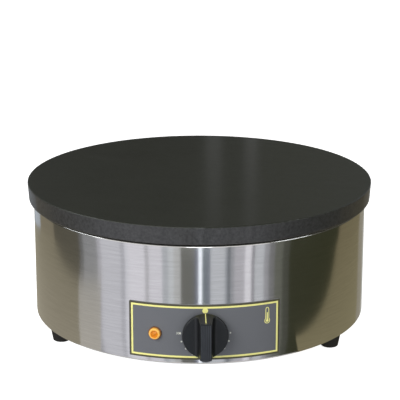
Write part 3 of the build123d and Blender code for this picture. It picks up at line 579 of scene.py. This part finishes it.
def moulded_phenolic(name, colour):
    """Black phenolic resin, compression moulded: hard, semi-gloss, with a fine swirl."""
    material, tree, shader = new_material(name, colour, Roughness=0.34, IOR=1.45)
    where = add_node(tree, WHERE).outputs["Object"]
    swirl = add_node(tree, NOISE, {"Vector": where, "Scale": 1 / (6 * MM), "Detail": 4})
    grain = add_node(tree, NOISE, {"Vector": where, "Scale": 1 / (0.9 * MM), "Detail": 2})
    bump = add_node(tree, BUMP, {"Height": grain, "Distance": 0.012 * MM, "Strength": 0.5})
    shades = (shade_of(colour, 0.8), shade_of(colour, 1.3))
    vary(tree, shader, swirl, shades, (0.29, 0.4))
    fill(tree, shader, {"Normal": bump})
    return material


def moulded_amber(colour, middle_colour, middle):
    """Amber polycarbonate: the hollow middle is deeper in colour than the polished rim."""
    material, tree, shader = new_material(
        "amber_polycarbonate", colour, Roughness=0.2, IOR=1.5, Transmission_Weight=0.1,
        Emission_Strength=0.22,
    )
    where = add_node(tree, WHERE).outputs["Object"]
    away = add_node(tree, "ShaderNodeVectorMath", {0: where, 1: middle}, operation="DISTANCE")
    rim = add_node(tree, RANGE, {"Value": away, "From Min": 3.6 * MM, "From Max": 5.2 * MM})
    deep, pale = shade_of(middle_colour), shade_of(colour)
    amber = add_node(tree, MIX, {"Factor": rim, "A": deep, "B": pale}, data_type="RGBA")
    flow = add_node(tree, NOISE, {"Vector": where, "Scale": 1 / (4 * MM)})
    gloss = add_node(tree, RANGE, {"Value": flow, **NOISE_SPREAD, "To Min": 0.14, "To Max": 0.26})
    fill(tree, shader, {"Base Color": amber, "Emission Color": amber, "Roughness": gloss})
    return material


def plain_finish(name, colour, metallic, roughness, grain_mm, depth_mm, variation=0.12):
    """A finish told by its colour, its gloss and a fine grain: cast, plated, moulded or woven."""
    material, tree, shader = new_material(name, colour, Metallic=metallic, Roughness=roughness)
    where = add_node(tree, WHERE).outputs["Object"]
    grain = add_node(tree, NOISE, {"Vector": where, "Scale": 1 / (grain_mm * MM), "Detail": 3})
    bump = add_node(tree, BUMP, {"Height": grain, "Distance": depth_mm * MM, "Strength": 0.6})
    shades = (shade_of(colour, 1 - variation), shade_of(colour, 1 + variation))
    vary(tree, shader, grain, shades, (roughness - 0.05, roughness + 0.06))
    fill(tree, shader, {"Normal": bump})
    return material


def glow(name, colour, strength):
    """Plain light of one colour, for a card."""
    material, tree = blank_material(name)
    shine = add_node(tree, "ShaderNodeEmission", {"Color": shade_of(colour), "Strength": strength})
    add_node(tree, "ShaderNodeOutputMaterial", {"Surface": shine})
    return material, tree, shine


# ---- Studio --------------------------------------------------------------------------------
CAMERA_TURN = -1.85  # degrees round the machine, towards its left
CAMERA_ELEVATION = 15.46
CAMERA_DISTANCE = 1.786
CAMERA_LENS = 137.4
CAMERA_SHIFT = (0.0017, -0.059)

# Upright light and dark cards round the machine, in two rings: the drum's wall mirrors the low
# ring, and its rolled lip and the plate mirror the high one. Each card is (where it ends, its
# brightness, its tint): it starts where the last one ends. Angles are in degrees to the right
# of the camera.
CARD_DISTANCE = 2.6
CARD_FOLD = 10  # degrees of turn in each flat stretch
LOW_RING = (-2.4, 0.1)
HIGH_RING = (0.1, 2.4)
RING_START = -180.0
LOW_CARDS = (
    (-158, 0.19, "#FDFDFF"),
    (-138, 0.58, "#EAF4FF"),
    (-114, 0.27, "#FFF3D4"),
    (-86, 0.125, "#FFF8DE"),
    (-82.5, 0.2, "#FAFCFF"),
    (-70.5, 0.38, "#F6F9FF"),
    (-67.5, 0.64, "#F2F3FF"),
    (-52.5, 0.85, "#F2F4FF"),
    (-49.5, 0.67, "#F1F3FF"),
    (-47, 1.0, "#F2F4FF"),
    (-35.5, 1.06, "#F4F4FF"),
    (-33, 0.68, "#F5F6FF"),
    (-24, 1.0, "#F4F4FF"),
    (-20, 0.69, "#EFF5FF"),
    (-16.5, 0.85, "#F2F8FF"),
    (-12, 0.68, "#F9FCFF"),
    (-3, 0.195, "#FCFFF8"),
    (-0.5, 0.27, "#D9E2FF"),
    (1.7, 1.9, "#ECF3FF"),
    (4, 0.26, "#DBEDFF"),
    (7, 0.32, "#DCE8FF"),
    (16.5, 0.8, "#F0F5FF"),
    (18, 0.54, "#ECF3FF"),
    (20, 0.25, "#E7F0FF"),
    (22.5, 0.5, "#EFF4FF"),
    (29.5, 0.67, "#F4F4FF"),
    (34, 1.1, "#F5F5FF"),
    (36, 0.35, "#F2F2FF"),
    (42.5, 0.79, "#F1F6FF"),
    (46, 0.49, "#F3F5FF"),
    (50, 0.27, "#F8FAFF"),
    (56, 0.18, "#FAFFEF"),
    (61, 0.095, "#FAFFEA"),
    (106, 0.05, "#F9FFC6"),
    (130, 0.172, "#FFEFC3"),
    (140, 0.27, "#FFF7D4"),
    (156, 0.33, "#FFF7E0"),
    (180, 0.49, "#FEFFF7"),
)
HIGH_CARDS = (
    (-166, 0.06, "#FFFDF2"),
    (-140, 0.35, "#F4F8FF"),
    (-112, 0.12, "#FFFDF2"),
    (-73, 0.06, "#FFFDF2"),
    (46, 1.1, "#FFFFFF"),
    (84, 0.2, "#FFFFF2"),
    (140, 0.1, "#FFFDEE"),
    (168, 0.35, "#F0F6FF"),
    (176, 0.12, "#FFFFEA"),
    (180, 0.07, "#FFFFF0"),
)

# The bench top's visible pieces, on the floor, seen only in the drum's wall. Each is (corners,
# colour beside the drum, colour far from it, brightness).
BENCH = {
    "bench_right": (
        ((0.07, -0.14), (0.18, -0.197), (0.5, -0.025), (1, 0.245), (0.66, 0.58), (0.17, -0.085)),
        "#8F886C", "#827A60", 1.0
    ),
    "bench_left": (
        (
            (-0.15, -0.135), (-0.41, -0.12), (-0.455, -0.01), (-0.51, 0.09), (-0.5, 0.18), (-0.43, 0.29),
            (-0.27, 0.39), (-0.15, -0.02),
        ),
        "#A59F8E", "#8F8975", 1.0
    ),
    "bench_front": (
        ((-0.13, -0.16), (-0.15, -0.135), (-0.41, -0.12), (-0.38, -0.24)),
        "#C8C5BE", "#B6B5B0", 1.0
    ),
    "bench_behind": (((-0.15, -0.02), (-0.4, 0.8), (-0.05, 0.8), (-0.05, 0)), "#F8F9F4", "#7E7F78", 1.6),
}
BENCH_HEIGHT = 1 * MM
BENCH_CHANGE = (0.22, 0.55)

# Narrow bright strips far behind, which the seasoned plate mirrors as upright smears. Each is (the
# angle of its middle, its width in degrees, its brightness), and fades to half of that upwards.
STRIPS = ((179.05, 1.0, 0.38), (176.6, 0.8, 0.43))
STRIP_DISTANCE = 2.5
STRIP_ENDS = (0.5, 1.6)
STRIP_FADES = (0.78, 1.05)

# Bright patches for the knob: the top of its grip and both shoulders of its rim. Each is (where it
# starts and ends, its foot and its top, its brightness).
KNOB_CARDS = {
    "grip_card": (-8, 8, (0.15, 1.3), 3.6),
    "left_shoulder_card": (-102, -68, (0.9, 2.0), 4.8),
    "right_shoulder_card": (52, 80, (0.9, 2.0), 4.0),
}
KNOB_CARD_DISTANCE = 2.3

# Soft lamps for the matt surfaces. Each is (its place, the height it aims at, its size, its watts).
LAMPS = {
    "key_light": ((-1.7, -1.85, 1.7), 0.08, (1.4, 1.2), 43),
    "fill_light": ((2.2, -1.0, 0.7), 0.12, (1.2, 1.0), 10),
    "top_light": ((0.2, 0.3, 2.4), 0.1, (2.2, 2.2), 9),
}


def card_spot(turn_deg, height, distance=CARD_DISTANCE):
    """A place round the machine, by its angle to the right of the camera."""
    turn = math.radians(CAMERA_TURN + turn_deg)
    return Vector((math.sin(turn) * distance, -math.cos(turn) * distance, height))


def place_card(card, material, lights_matt_surfaces=False):
    """Give a card its light. It is seen only in reflections, and throws no shadow."""
    card.data.materials.append(material)
    card.visible_camera = False
    card.visible_shadow = False
    card.visible_diffuse = lights_matt_surfaces


def upright_card(name, start, end, ends, distance=CARD_DISTANCE):
    """An upright card between two angles, bent round the machine, with its foot and top at `ends`."""
    clear_selection()
    folds = math.ceil((end - start) / CARD_FOLD)
    bpy.ops.mesh.primitive_grid_add(x_subdivisions=folds, y_subdivisions=1, size=1)
    card = newest(name)
    foot, top = ends
    for vertex in card.data.vertices:
        turn = start + (end - start) * (vertex.co.x + 0.5)
        vertex.co = card_spot(turn, foot + (top - foot) * (vertex.co.y + 0.5), distance)
    return card


def add_ring(name, cards, ends):
    """A full ring of upright cards, one after another."""
    start = RING_START
    for index, (end, strength, colour) in enumerate(cards):
        card_name = f"{name}_{index:02d}"
        material, _, _ = glow(card_name, from_hex(colour), strength)
        place_card(upright_card(card_name, start, end, ends), material, lights_matt_surfaces=True)
        start = end


def add_lamp(name, spot, aim_height, size, power):
    """A soft white lamp, kept out of the reflections."""
    clear_selection()
    bpy.ops.object.light_add(type="AREA", location=spot)
    lamp = newest(name)
    lamp.data.shape = "RECTANGLE"
    lamp.data.size, lamp.data.size_y = size
    lamp.data.energy = power
    lamp.rotation_euler = (Vector((0, 0, aim_height)) - Vector(spot)).to_track_quat("-Z", "Y").to_euler()
    lamp.visible_glossy = False
    lamp.visible_camera = False


class CREPE_OT_camera(bpy.types.Operator):
    """Place the camera at the viewing angle"""

    bl_idname = "crepe.camera"
    bl_label = "Camera"

    def execute(self, context):
        clear_selection()
        rise = math.radians(CAMERA_ELEVATION)
        back = card_spot(0, math.sin(rise), math.cos(rise))
        aim = Vector((0, 0, PLATE_HIGH.z))
        bpy.ops.object.camera_add(location=aim + back * CAMERA_DISTANCE)
        camera = context.object
        camera.rotation_euler = back.to_track_quat("Z", "Y").to_euler()
        camera.data.lens = CAMERA_LENS
        camera.data.shift_x, camera.data.shift_y = CAMERA_SHIFT
        context.scene.camera = camera
        return {"FINISHED"}


class CREPE_OT_stage(bpy.types.Operator):
    """Add the pale floor, the cards and the lights"""

    bl_idname = "crepe.stage"
    bl_label = "Studio"

    def execute(self, context):
        self.make_world(context.scene)
        self.make_floor()
        add_ring("low_card", LOW_CARDS, LOW_RING)
        add_ring("high_card", HIGH_CARDS, HIGH_RING)
        for name, settings in BENCH.items():
            self.make_bench(name, *settings)
        for index, settings in enumerate(STRIPS):
            self.make_strip(f"window_strip_{index}", *settings)
        self.make_under_card()
        for name, (start, end, ends, strength) in KNOB_CARDS.items():
            material, _, _ = glow(name, from_hex("#F6FBFF"), strength)
            place_card(upright_card(name, start, end, ends, KNOB_CARD_DISTANCE), material)
        for name, settings in LAMPS.items():
            add_lamp(name, *settings)
        return {"FINISHED"}

    def make_world(self, scene):
        """White behind the machine, and dim for the light that reaches it."""
        world = bpy.data.worlds.new("studio")
        scene.world = world
        world.use_nodes = True
        tree = world.node_tree
        tree.nodes.clear()
        seen = add_node(tree, "ShaderNodeLightPath").outputs["Is Camera Ray"]
        dim = add_node(tree, "ShaderNodeBackground", {"Color": shade_of(from_hex("#595957"))})
        white = add_node(tree, "ShaderNodeBackground", {"Color": shade_of(WHITE)})
        mixed = add_node(tree, "ShaderNodeMixShader", {"Fac": seen, 1: dim, 2: white})
        add_node(tree, "ShaderNodeOutputWorld", {"Surface": mixed})
        scene.view_settings.view_transform = "Standard"

    def make_floor(self):
        """White paper, lit enough to meet the background."""
        clear_selection()
        bpy.ops.mesh.primitive_plane_add(size=8)
        floor = newest("floor")
        material, tree, shader = new_material(
            "white_paper", from_hex("#F3F3F3"), Roughness=0.9, Emission_Color=shade_of(WHITE),
            Emission_Strength=0.9,
        )
        where = add_node(tree, WHERE).outputs["Object"]
        fibres = add_node(tree, NOISE, {"Vector": where, "Scale": 1 / (2 * MM)})
        bump = add_node(tree, BUMP, {"Height": fibres, "Distance": 0.02 * MM, "Strength": 0.2})
        fill(tree, shader, {"Normal": bump})
        floor.data.materials.append(material)
        floor.visible_glossy = False
        floor.visible_diffuse = False

    def make_bench(self, name, corners, near, far, strength):
        """A piece of bench top, whose colour changes from beside the drum to far from it."""
        clear_selection()
        bpy.ops.mesh.primitive_circle_add(vertices=len(corners), radius=1, fill_type="NGON")
        card = newest(name)
        for vertex, (x, y) in zip(card.data.vertices, corners):
            vertex.co = (x, y, BENCH_HEIGHT)
        material, tree, shine = glow(name, WHITE, strength)
        where = add_node(tree, WHERE).outputs["Object"]
        away = add_node(tree, "ShaderNodeVectorMath", {0: where}, operation="LENGTH")
        low, high = BENCH_CHANGE
        change = add_node(tree, RANGE, {"Value": away, "From Min": low, "From Max": high})
        beside, beyond = shade_of(from_hex(near)), shade_of(from_hex(far))
        colour = add_node(tree, MIX, {"Factor": change, "A": beside, "B": beyond}, data_type="RGBA")
        fill(tree, shine, {"Color": colour})
        place_card(card, material)

    def make_strip(self, name, turn, width, strength):
        """An upright strip that fades towards its top."""
        material, tree, shine = glow(name, WHITE, strength)
        where = add_node(tree, WHERE).outputs["Object"]
        height = add_node(tree, "ShaderNodeSeparateXYZ", {"Vector": where}).outputs["Z"]
        low, high = STRIP_FADES
        ends = {"From Min": low, "From Max": high, "To Min": strength, "To Max": strength / 2}
        fading = add_node(tree, RANGE, {"Value": height, **ends})
        fill(tree, shine, {"Strength": fading})
        edges = (turn - width / 2, turn + width / 2)
        place_card(upright_card(name, *edges, STRIP_ENDS, STRIP_DISTANCE), material)

    def make_under_card(self):
        """White, for the bottom bend, whose lowest part faces down."""
        clear_selection()
        bpy.ops.mesh.primitive_plane_add(size=6, location=(0, 0, LOW_RING[0]))
        material, _, _ = glow("under_card", WHITE, 0.85)
        place_card(newest("under_card"), material)


# ---- Plate, drum and base ------------------------------------------------------------------
DRUM_SIDES = 240
WALL_STEPS = 6
BEND_STEPS = 6
INNER_BEND_STEPS = 4


class CREPE_OT_plate(bpy.types.Operator):
    """Finish the griddle plate"""

    bl_idname = "crepe.plate"
    bl_label = "Griddle Plate"

    def execute(self, context):
        colours = context.scene.crepe_colours
        dress_node("griddle_plate", seasoned_cast_iron(colours.iron, colours.iron_rim_with_painted_light))
        return {"FINISHED"}


class CREPE_OT_drum(bpy.types.Operator):
    """Model the brushed drum with its rolled lip, bottom flange and holes"""

    bl_idname = "crepe.drum"
    bl_label = "Drum"

    def execute(self, context):
        sizes = context.scene.crepe_sizes
        outer, sheet, edge = sizes.drum_radius, sizes.drum_sheet, sizes.drum_edge
        low, high = DRUM_LOW.z, DRUM_HIGH.z
        bend, inner_bend = outer - edge, edge - sheet
        rings = [(sizes.drum_flange, low + sheet), (sizes.drum_flange, low)]
        rings += arc(bend, low + edge, edge, -90, 0, BEND_STEPS)
        rings += [(outer, low + (high - low) * i / WALL_STEPS) for i in range(1, WALL_STEPS)]
        rings += arc(bend, high - edge, edge, 0, 90, BEND_STEPS)
        rings += [(sizes.drum_lip, high), (sizes.drum_lip, high - sheet)]
        rings += arc(bend, high - edge, inner_bend, 90, 0, INNER_BEND_STEPS)
        rings += arc(bend, low + edge, inner_bend, 0, -90, INNER_BEND_STEPS)
        rings.append(rings[0])
        drum = turned("drum", rings, DRUM_SIDES)
        drill_wall(drum, LAMP_MIDDLE, LAMP_HOLE)
        drill_wall(drum, GLAND_MIDDLE, GLAND_HOLE)
        drill_wall(drum, SHAFT_MIDDLE, SHAFT_HOLE)
        smooth(drum)
        dress(drum, brushed_stainless(), replaced=["drum_shell"])
        return {"FINISHED"}


class CREPE_OT_base(bpy.types.Operator):
    """Finish the base plate and the rubber parts"""

    bl_idname = "crepe.base"
    bl_label = "Base and Feet"

    def execute(self, context):
        # Hot-dip galvanised sheet: grey, with soft crystals of about a centimetre.
        sheet = plain_finish("galvanised_sheet", from_hex("#B9BBBC"), 1.0, 0.42, 9, 0.01)
        dress_node("base_plate", sheet)
        # Moulded rubber: black and matt, with the mould's fine grain.
        rubber = plain_finish("moulded_rubber", from_hex("#1B1B1B"), 0.0, 0.72, 0.8, 0.03, 0.2)
        for name in ("foot_front_left", "foot_front_right", "foot_rear", "gland_washer", "gland_seal"):
            dress_node(name, rubber)
        return {"FINISHED"}


# ---- Control panel -------------------------------------------------------------------------
CORNER_ROUNDING = 1.2 * MM
MARGIN_GAP = 0.1 * MM
MARK_COUNT = 10
MARK_PITCH = 20
MARK_RADIUS = 0.95 * MM
NUMERAL_SIZE = 3.6 * MM
NUMERAL_BOLDNESS = 0.08 * MM
NUMERAL_SPOT = (-31.2 * MM, 0, KNOB_Z - 1.2 * MM)

# The thermometer: where its bulb is, where its tube and its column end, and the radii of the
# bulb and the tube, outside and in its column.
SYMBOL_X = 68.6 * MM
SYMBOL_BULB_Z = KNOB_Z + 9.7 * MM
SYMBOL_TOP = KNOB_Z + 25.2 * MM
SYMBOL_COLUMN_TOP = SYMBOL_BULB_Z + 9.5 * MM
SYMBOL_OUTLINE = (3.3 * MM, 2.2 * MM)
SYMBOL_COLUMN = (1.6 * MM, 0.75 * MM)
SYMBOL_LINE = 0.8 * MM

# The knob's pointer line and ribs, and how far the lamp's lens stands out from its middle.
POINTER_WIDTH = 0.95 * MM
POINTER_INSET = 0.8 * MM
RIB_PITCH = 2.2 * MM
RIB_WIDTH = 1.2 * MM
RIB_THICKNESS = 0.9 * MM
RIB_ENDS = (KNOB_Z - 21.5 * MM, KNOB_Z + 19 * MM)
CLEAR_OF_KNOB = 10 * MM
LENS_FRONT = 2.5 * MM


def print_on_panel(piece, ink, thickness):
    """Lay a flat print on the bent panel."""
    wrap_on_wall(piece, FASCIA_RADIUS, thickness)
    dress(piece, ink)


class CREPE_OT_fascia(bpy.types.Operator):
    """Model the bent panel with its margin, frame line and symbols"""

    bl_idname = "crepe.fascia"
    bl_label = "Control Panel"

    def execute(self, context):
        sizes = context.scene.crepe_sizes
        colours = context.scene.crepe_colours
        self.make_panel(printed_lacquer("grey_lacquer", colours.fascia_grey))
        dark = printed_lacquer("margin_ink", colours.fascia_margin)
        print_on_panel(self.frame_ring("print_margin", MARGIN_GAP, sizes.fascia_margin), dark, sizes.ink)
        yellow = printed_lacquer("yellow_ink", colours.ink_yellow)
        # The frame line lies over the margin's edge, so its ink is thicker.
        line = self.frame_ring("print_frame_line", sizes.fascia_margin, sizes.frame_line)
        print_on_panel(line, yellow, 1.5 * sizes.ink)
        dot = flat_disc("print_dot", sizes.dot_radius, 0, KNOB_Z + sizes.dot_height)
        print_on_panel(dot, yellow, sizes.ink)
        pale = printed_lacquer("pale_ink", colours.ink_pale)
        print_on_panel(self.scale_marks(sizes.tick_radius), pale, sizes.ink)
        print_on_panel(self.numeral(), pale, sizes.ink)
        print_on_panel(self.thermometer(), yellow, sizes.ink)
        return {"FINISHED"}

    def make_panel(self, lacquer):
        panel = flat_plate("fascia", FASCIA_ARC_WIDTH, FASCIA_HEIGHT, FASCIA_MIDDLE_Z)
        edit_all()
        bpy.ops.mesh.bevel(affect="VERTICES", offset=CORNER_ROUNDING, segments=4)
        object_mode()
        wrap_on_wall(panel, DRUM_RADIUS, FASCIA_RADIUS - DRUM_RADIUS)
        drill_wall(panel, LAMP_MIDDLE, LAMP_HOLE)
        drill_wall(panel, SHAFT_MIDDLE, SHAFT_HOLE)
        smooth(panel)
        dress(panel, lacquer, replaced=["control_fascia"])

    def frame_ring(self, name, inset, width):
        """A rectangle line, `inset` from the panel's edge."""
        ring = flat_plate(
            name, FASCIA_ARC_WIDTH - 2 * inset, FASCIA_HEIGHT - 2 * inset, FASCIA_MIDDLE_Z
        )
        edit_all()
        bpy.ops.mesh.inset(thickness=width)
        bpy.ops.mesh.delete(type="FACE")
        object_mode()
        return ring

    def scale_marks(self, distance):
        """Marks round the lower half of the dial, from the right to the left."""
        marks = []
        for step in range(MARK_COUNT):
            turn = -math.radians(MARK_PITCH * step)
            spot = (distance * math.cos(turn), KNOB_Z + distance * math.sin(turn))
            marks.append(flat_disc("mark", MARK_RADIUS, *spot, sides=16))
        return join(marks, "print_scale_marks")

    def numeral(self):
        """The highest setting, beside the last mark."""
        clear_selection()
        bpy.ops.object.text_add(location=NUMERAL_SPOT, rotation=UPRIGHT)
        numeral = newest("print_numeral")
        numeral.data.body = "300"
        numeral.data.size = NUMERAL_SIZE
        numeral.data.offset = NUMERAL_BOLDNESS
        bpy.ops.object.convert(target="MESH")
        return numeral

    def thermometer(self):
        """An outlined bulb and tube round a filled column."""
        outline = self.keyhole("outline", *SYMBOL_OUTLINE, SYMBOL_TOP)
        edit_all()
        bpy.ops.mesh.inset(thickness=SYMBOL_LINE)
        bpy.ops.mesh.delete(type="FACE")
        object_mode()
        column = self.keyhole("column", *SYMBOL_COLUMN, SYMBOL_COLUMN_TOP)
        return join([outline, column], "print_thermometer")

    def keyhole(self, name, bulb_r, tube_r, top_z):
        """A bulb and its tube: a disc whose top, as wide as the tube, is rounded and moved up."""
        piece = flat_disc(name, bulb_r, SYMBOL_X, SYMBOL_BULB_Z, sides=64)
        shoulder = math.sqrt(bulb_r**2 - tube_r**2)
        shoulder_z = SYMBOL_BULB_Z + shoulder
        edit_all()
        pick_vertices(lambda place: place.z > shoulder_z)
        rounding = tube_r / (bulb_r - shoulder)
        bpy.ops.transform.resize(value=(1, 1, rounding), center_override=(SYMBOL_X, 0, shoulder_z))
        bpy.ops.transform.translate(value=(0, 0, top_z - tube_r - shoulder_z))
        object_mode()
        return piece


class CREPE_OT_knob(bpy.types.Operator):
    """Finish the knob, print its pointer line and rib its grip"""

    bl_idname = "crepe.knob"
    bl_label = "Thermostat Knob"

    def execute(self, context):
        colours = context.scene.crepe_colours
        dress_node("knob", moulded_phenolic("moulded_phenolic", colours.phenolic))
        self.make_pointer(context.scene.crepe_sizes.ink)
        # The ribs get a lighter phenolic: a painted highlight on the front of the grip.
        self.make_ribs(moulded_phenolic("phenolic_ribs_painted_highlight", colours.phenolic_painted_highlight))
        return {"FINISHED"}

    def strip(self, name, spot, width, length, cuts, turn=(0, 0, 0)):
        """A narrow flat strip, cut across so that it can follow the knob."""
        clear_selection()
        bpy.ops.mesh.primitive_grid_add(
            x_subdivisions=2, y_subdivisions=cuts, size=1, location=spot, rotation=turn
        )
        piece = newest(name)
        piece.scale = (width, length, 1)
        return settle(piece)

    def make_pointer(self, ink):
        """A printed line along the top of the grip."""
        spot = (0, KNOB_MIDDLE_Y, KNOB_HIGH.z + CLEAR_OF_KNOB)
        length = KNOB_HIGH.y - KNOB_LOW.y - 2 * POINTER_INSET
        line = self.strip("knob_pointer_line", spot, POINTER_WIDTH, length, 24)
        run_modifier(
            line, "SHRINKWRAP", target=NODES["knob"], wrap_method="PROJECT", use_project_z=True,
            use_negative_direction=True, use_positive_direction=False, offset=ink / 2,
        )
        run_modifier(line, "SOLIDIFY", thickness=ink, offset=0.0)
        smooth(line)
        dress(line, bpy.data.materials["yellow_ink"], body=CONTROL_KNOB)

    def make_ribs(self, material):
        """Fine ribs moulded along the front of the grip, following its crown, half sunk in it."""
        low, high = RIB_ENDS
        ribs = []
        for step in range(-2, 3):
            spot = (step * RIB_PITCH, KNOB_LOW.y - CLEAR_OF_KNOB, (low + high) / 2)
            ribs.append(self.strip("rib", spot, RIB_WIDTH, high - low, 28, UPRIGHT))
        piece = join(ribs, "knob_grip_ribs")
        run_modifier(
            piece, "SHRINKWRAP", target=NODES["knob"], wrap_method="PROJECT", use_project_y=True,
            use_project_z=False, use_negative_direction=False, use_positive_direction=True,
        )
        run_modifier(piece, "SOLIDIFY", thickness=RIB_THICKNESS, offset=0.0)
        smooth(piece)
        dress(piece, material, body=CONTROL_KNOB)


class CREPE_OT_lamp(bpy.types.Operator):
    """Finish the pilot lamp"""

    bl_idname = "crepe.lamp"
    bl_label = "Pilot Lamp"

    def execute(self, context):
        colours = context.scene.crepe_colours
        front = LENS_MIDDLE + outward_at(LAMP_MIDDLE) * LENS_FRONT
        dress_node("pilot_lamp_lens", moulded_amber(colours.amber, colours.amber_middle, front))
        # Brown polycarbonate, moulded and glossy.
        brown = plain_finish("brown_polycarbonate", colours.bezel, 0.0, 0.3, 3, 0.01)
        dress_node("pilot_lamp_bezel", brown)
        return {"FINISHED"}


# ---- Works inside and the cable gland ------------------------------------------------------
class CREPE_OT_works(bpy.types.Operator):
    """Finish the heater, the thermostat, the wiring and the fasteners"""

    bl_idname = "crepe.works"
    bl_label = "Works and Gland"

    def execute(self, context):
        # Zinc-plated steel: pale, faintly blue, with a fine plated grain.
        zinc = plain_finish("zinc_plated_steel", from_hex("#C6C9CC"), 1.0, 0.34, 1.2, 0.01)
        # Heat-tinted sheath tube: straw to brown oxide on stainless steel.
        sheath = plain_finish("heat_tinted_sheath", from_hex("#8C7F6E"), 1.0, 0.4, 14, 0.01, 0.3)
        # Unglazed steatite: cream white and chalky.
        steatite = plain_finish("unglazed_steatite", from_hex("#E9E5DA"), 0.0, 0.6, 0.6, 0.02)
        # Drawn copper tube and turned brass: warm, bright and slightly clouded.
        copper = plain_finish("drawn_copper", from_hex("#C9825A"), 1.0, 0.3, 3, 0.005, 0.2)
        brass = plain_finish("plain_brass", from_hex("#D3B069"), 1.0, 0.3, 2, 0.005, 0.15)
        # Pressed mineral wool: dull yellow-brown and fibrous.
        wool = plain_finish("mineral_wool", from_hex("#B7A77A"), 0.0, 0.95, 1.6, 0.5, 0.3)
        # Aluminium foil: bright and crumpled. Aluminised sheet: flat grey, with a fine spangle.
        foil = plain_finish("aluminium_foil", from_hex("#E3E4E6"), 1.0, 0.2, 12, 0.12, 0.05)
        pan = plain_finish("aluminised_sheet", from_hex("#B4B5B5"), 1.0, 0.4, 2.5, 0.01)
        # Cream thermoset and black nylon, both moulded: smooth and half matt.
        thermoset = plain_finish("cream_thermoset", from_hex("#DAD3BF"), 0.0, 0.45, 1.5, 0.01)
        nylon = plain_finish("moulded_nylon", from_hex("#1D1E20"), 0.0, 0.5, 0.7, 0.02, 0.2)
        for material, names in (
            (zinc, ("clamp_spider", "spider_stud", "spider_nut", "element_studs", "sensor_clip")),
            (zinc, ("tie_rods", "rod_nuts", "lower_sleeves", "upper_sleeves", "base_screws")),
            (zinc, ("thermostat_plate", "thermostat_screws", "thermostat_shaft", "knob_spring")),
            (zinc, ("pilot_lamp_nut", "terminal_block_screws")),
            (sheath, ("heating_element",)),
            (steatite, ("element_ceramics", "terminal_block")),
            (copper, ("sensor_bulb", "capillary_tube")),
            (brass, ("thermostat_tabs", "terminal_inserts", "earth_stud")),
            (wool, ("insulation_disc",)),
            (foil, ("reflector_sheet",)),
            (pan, ("heat_shield_pan",)),
            (thermoset, ("thermostat_body",)),
            (nylon, ("gland_body", "gland_lock_nut", "gland_cap", "pilot_lamp_body")),
        ):
            for name in names:
                dress_node(name, material)
        for name, colour in (
            ("wire_live", "#6B4426"),
            ("wire_heater", "#202022"),
            ("wire_neutral", "#2E5C9E"),
            ("wire_earth", "#8DB13A"),
            ("wires_lamp", "#2A2A2C"),
        ):
            # Extruded silicone insulation: matt, and slightly uneven along its length.
            dress_node(name, plain_finish(f"silicone_{name}", from_hex(colour), 0.0, 0.55, 4, 0.02))
        return {"FINISHED"}


# ---- Add-on --------------------------------------------------------------------------------
STEPS = (
    CREPE_OT_camera,
    CREPE_OT_stage,
    CREPE_OT_plate,
    CREPE_OT_drum,
    CREPE_OT_base,
    CREPE_OT_fascia,
    CREPE_OT_knob,
    CREPE_OT_lamp,
    CREPE_OT_works,
)


class CREPE_PT_panel(bpy.types.Panel):
    """Lists the steps that dress the crepe maker"""

    bl_idname = "CREPE_PT_panel"
    bl_label = "Crepe Maker"
    bl_space_type = "VIEW_3D"
    bl_region_type = "UI"
    bl_category = "Crepe Maker"

    def draw(self, context):
        for step in STEPS:
            self.layout.operator(step.bl_idname)


CLASSES = (CrepeSizes, CrepeColours, *STEPS, CREPE_PT_panel)


def register():
    for cls in CLASSES:
        bpy.utils.register_class(cls)
    bpy.types.Scene.crepe_sizes = bpy.props.PointerProperty(type=CrepeSizes)
    bpy.types.Scene.crepe_colours = bpy.props.PointerProperty(type=CrepeColours)


def unregister():
    del bpy.types.Scene.crepe_colours
    del bpy.types.Scene.crepe_sizes
    for cls in reversed(CLASSES):
        bpy.utils.unregister_class(cls)


def main():
    register()
    for step in STEPS:
        group, name = step.bl_idname.split(".")
        getattr(getattr(bpy.ops, group), name)()


if __name__ == "__main__":
    main()
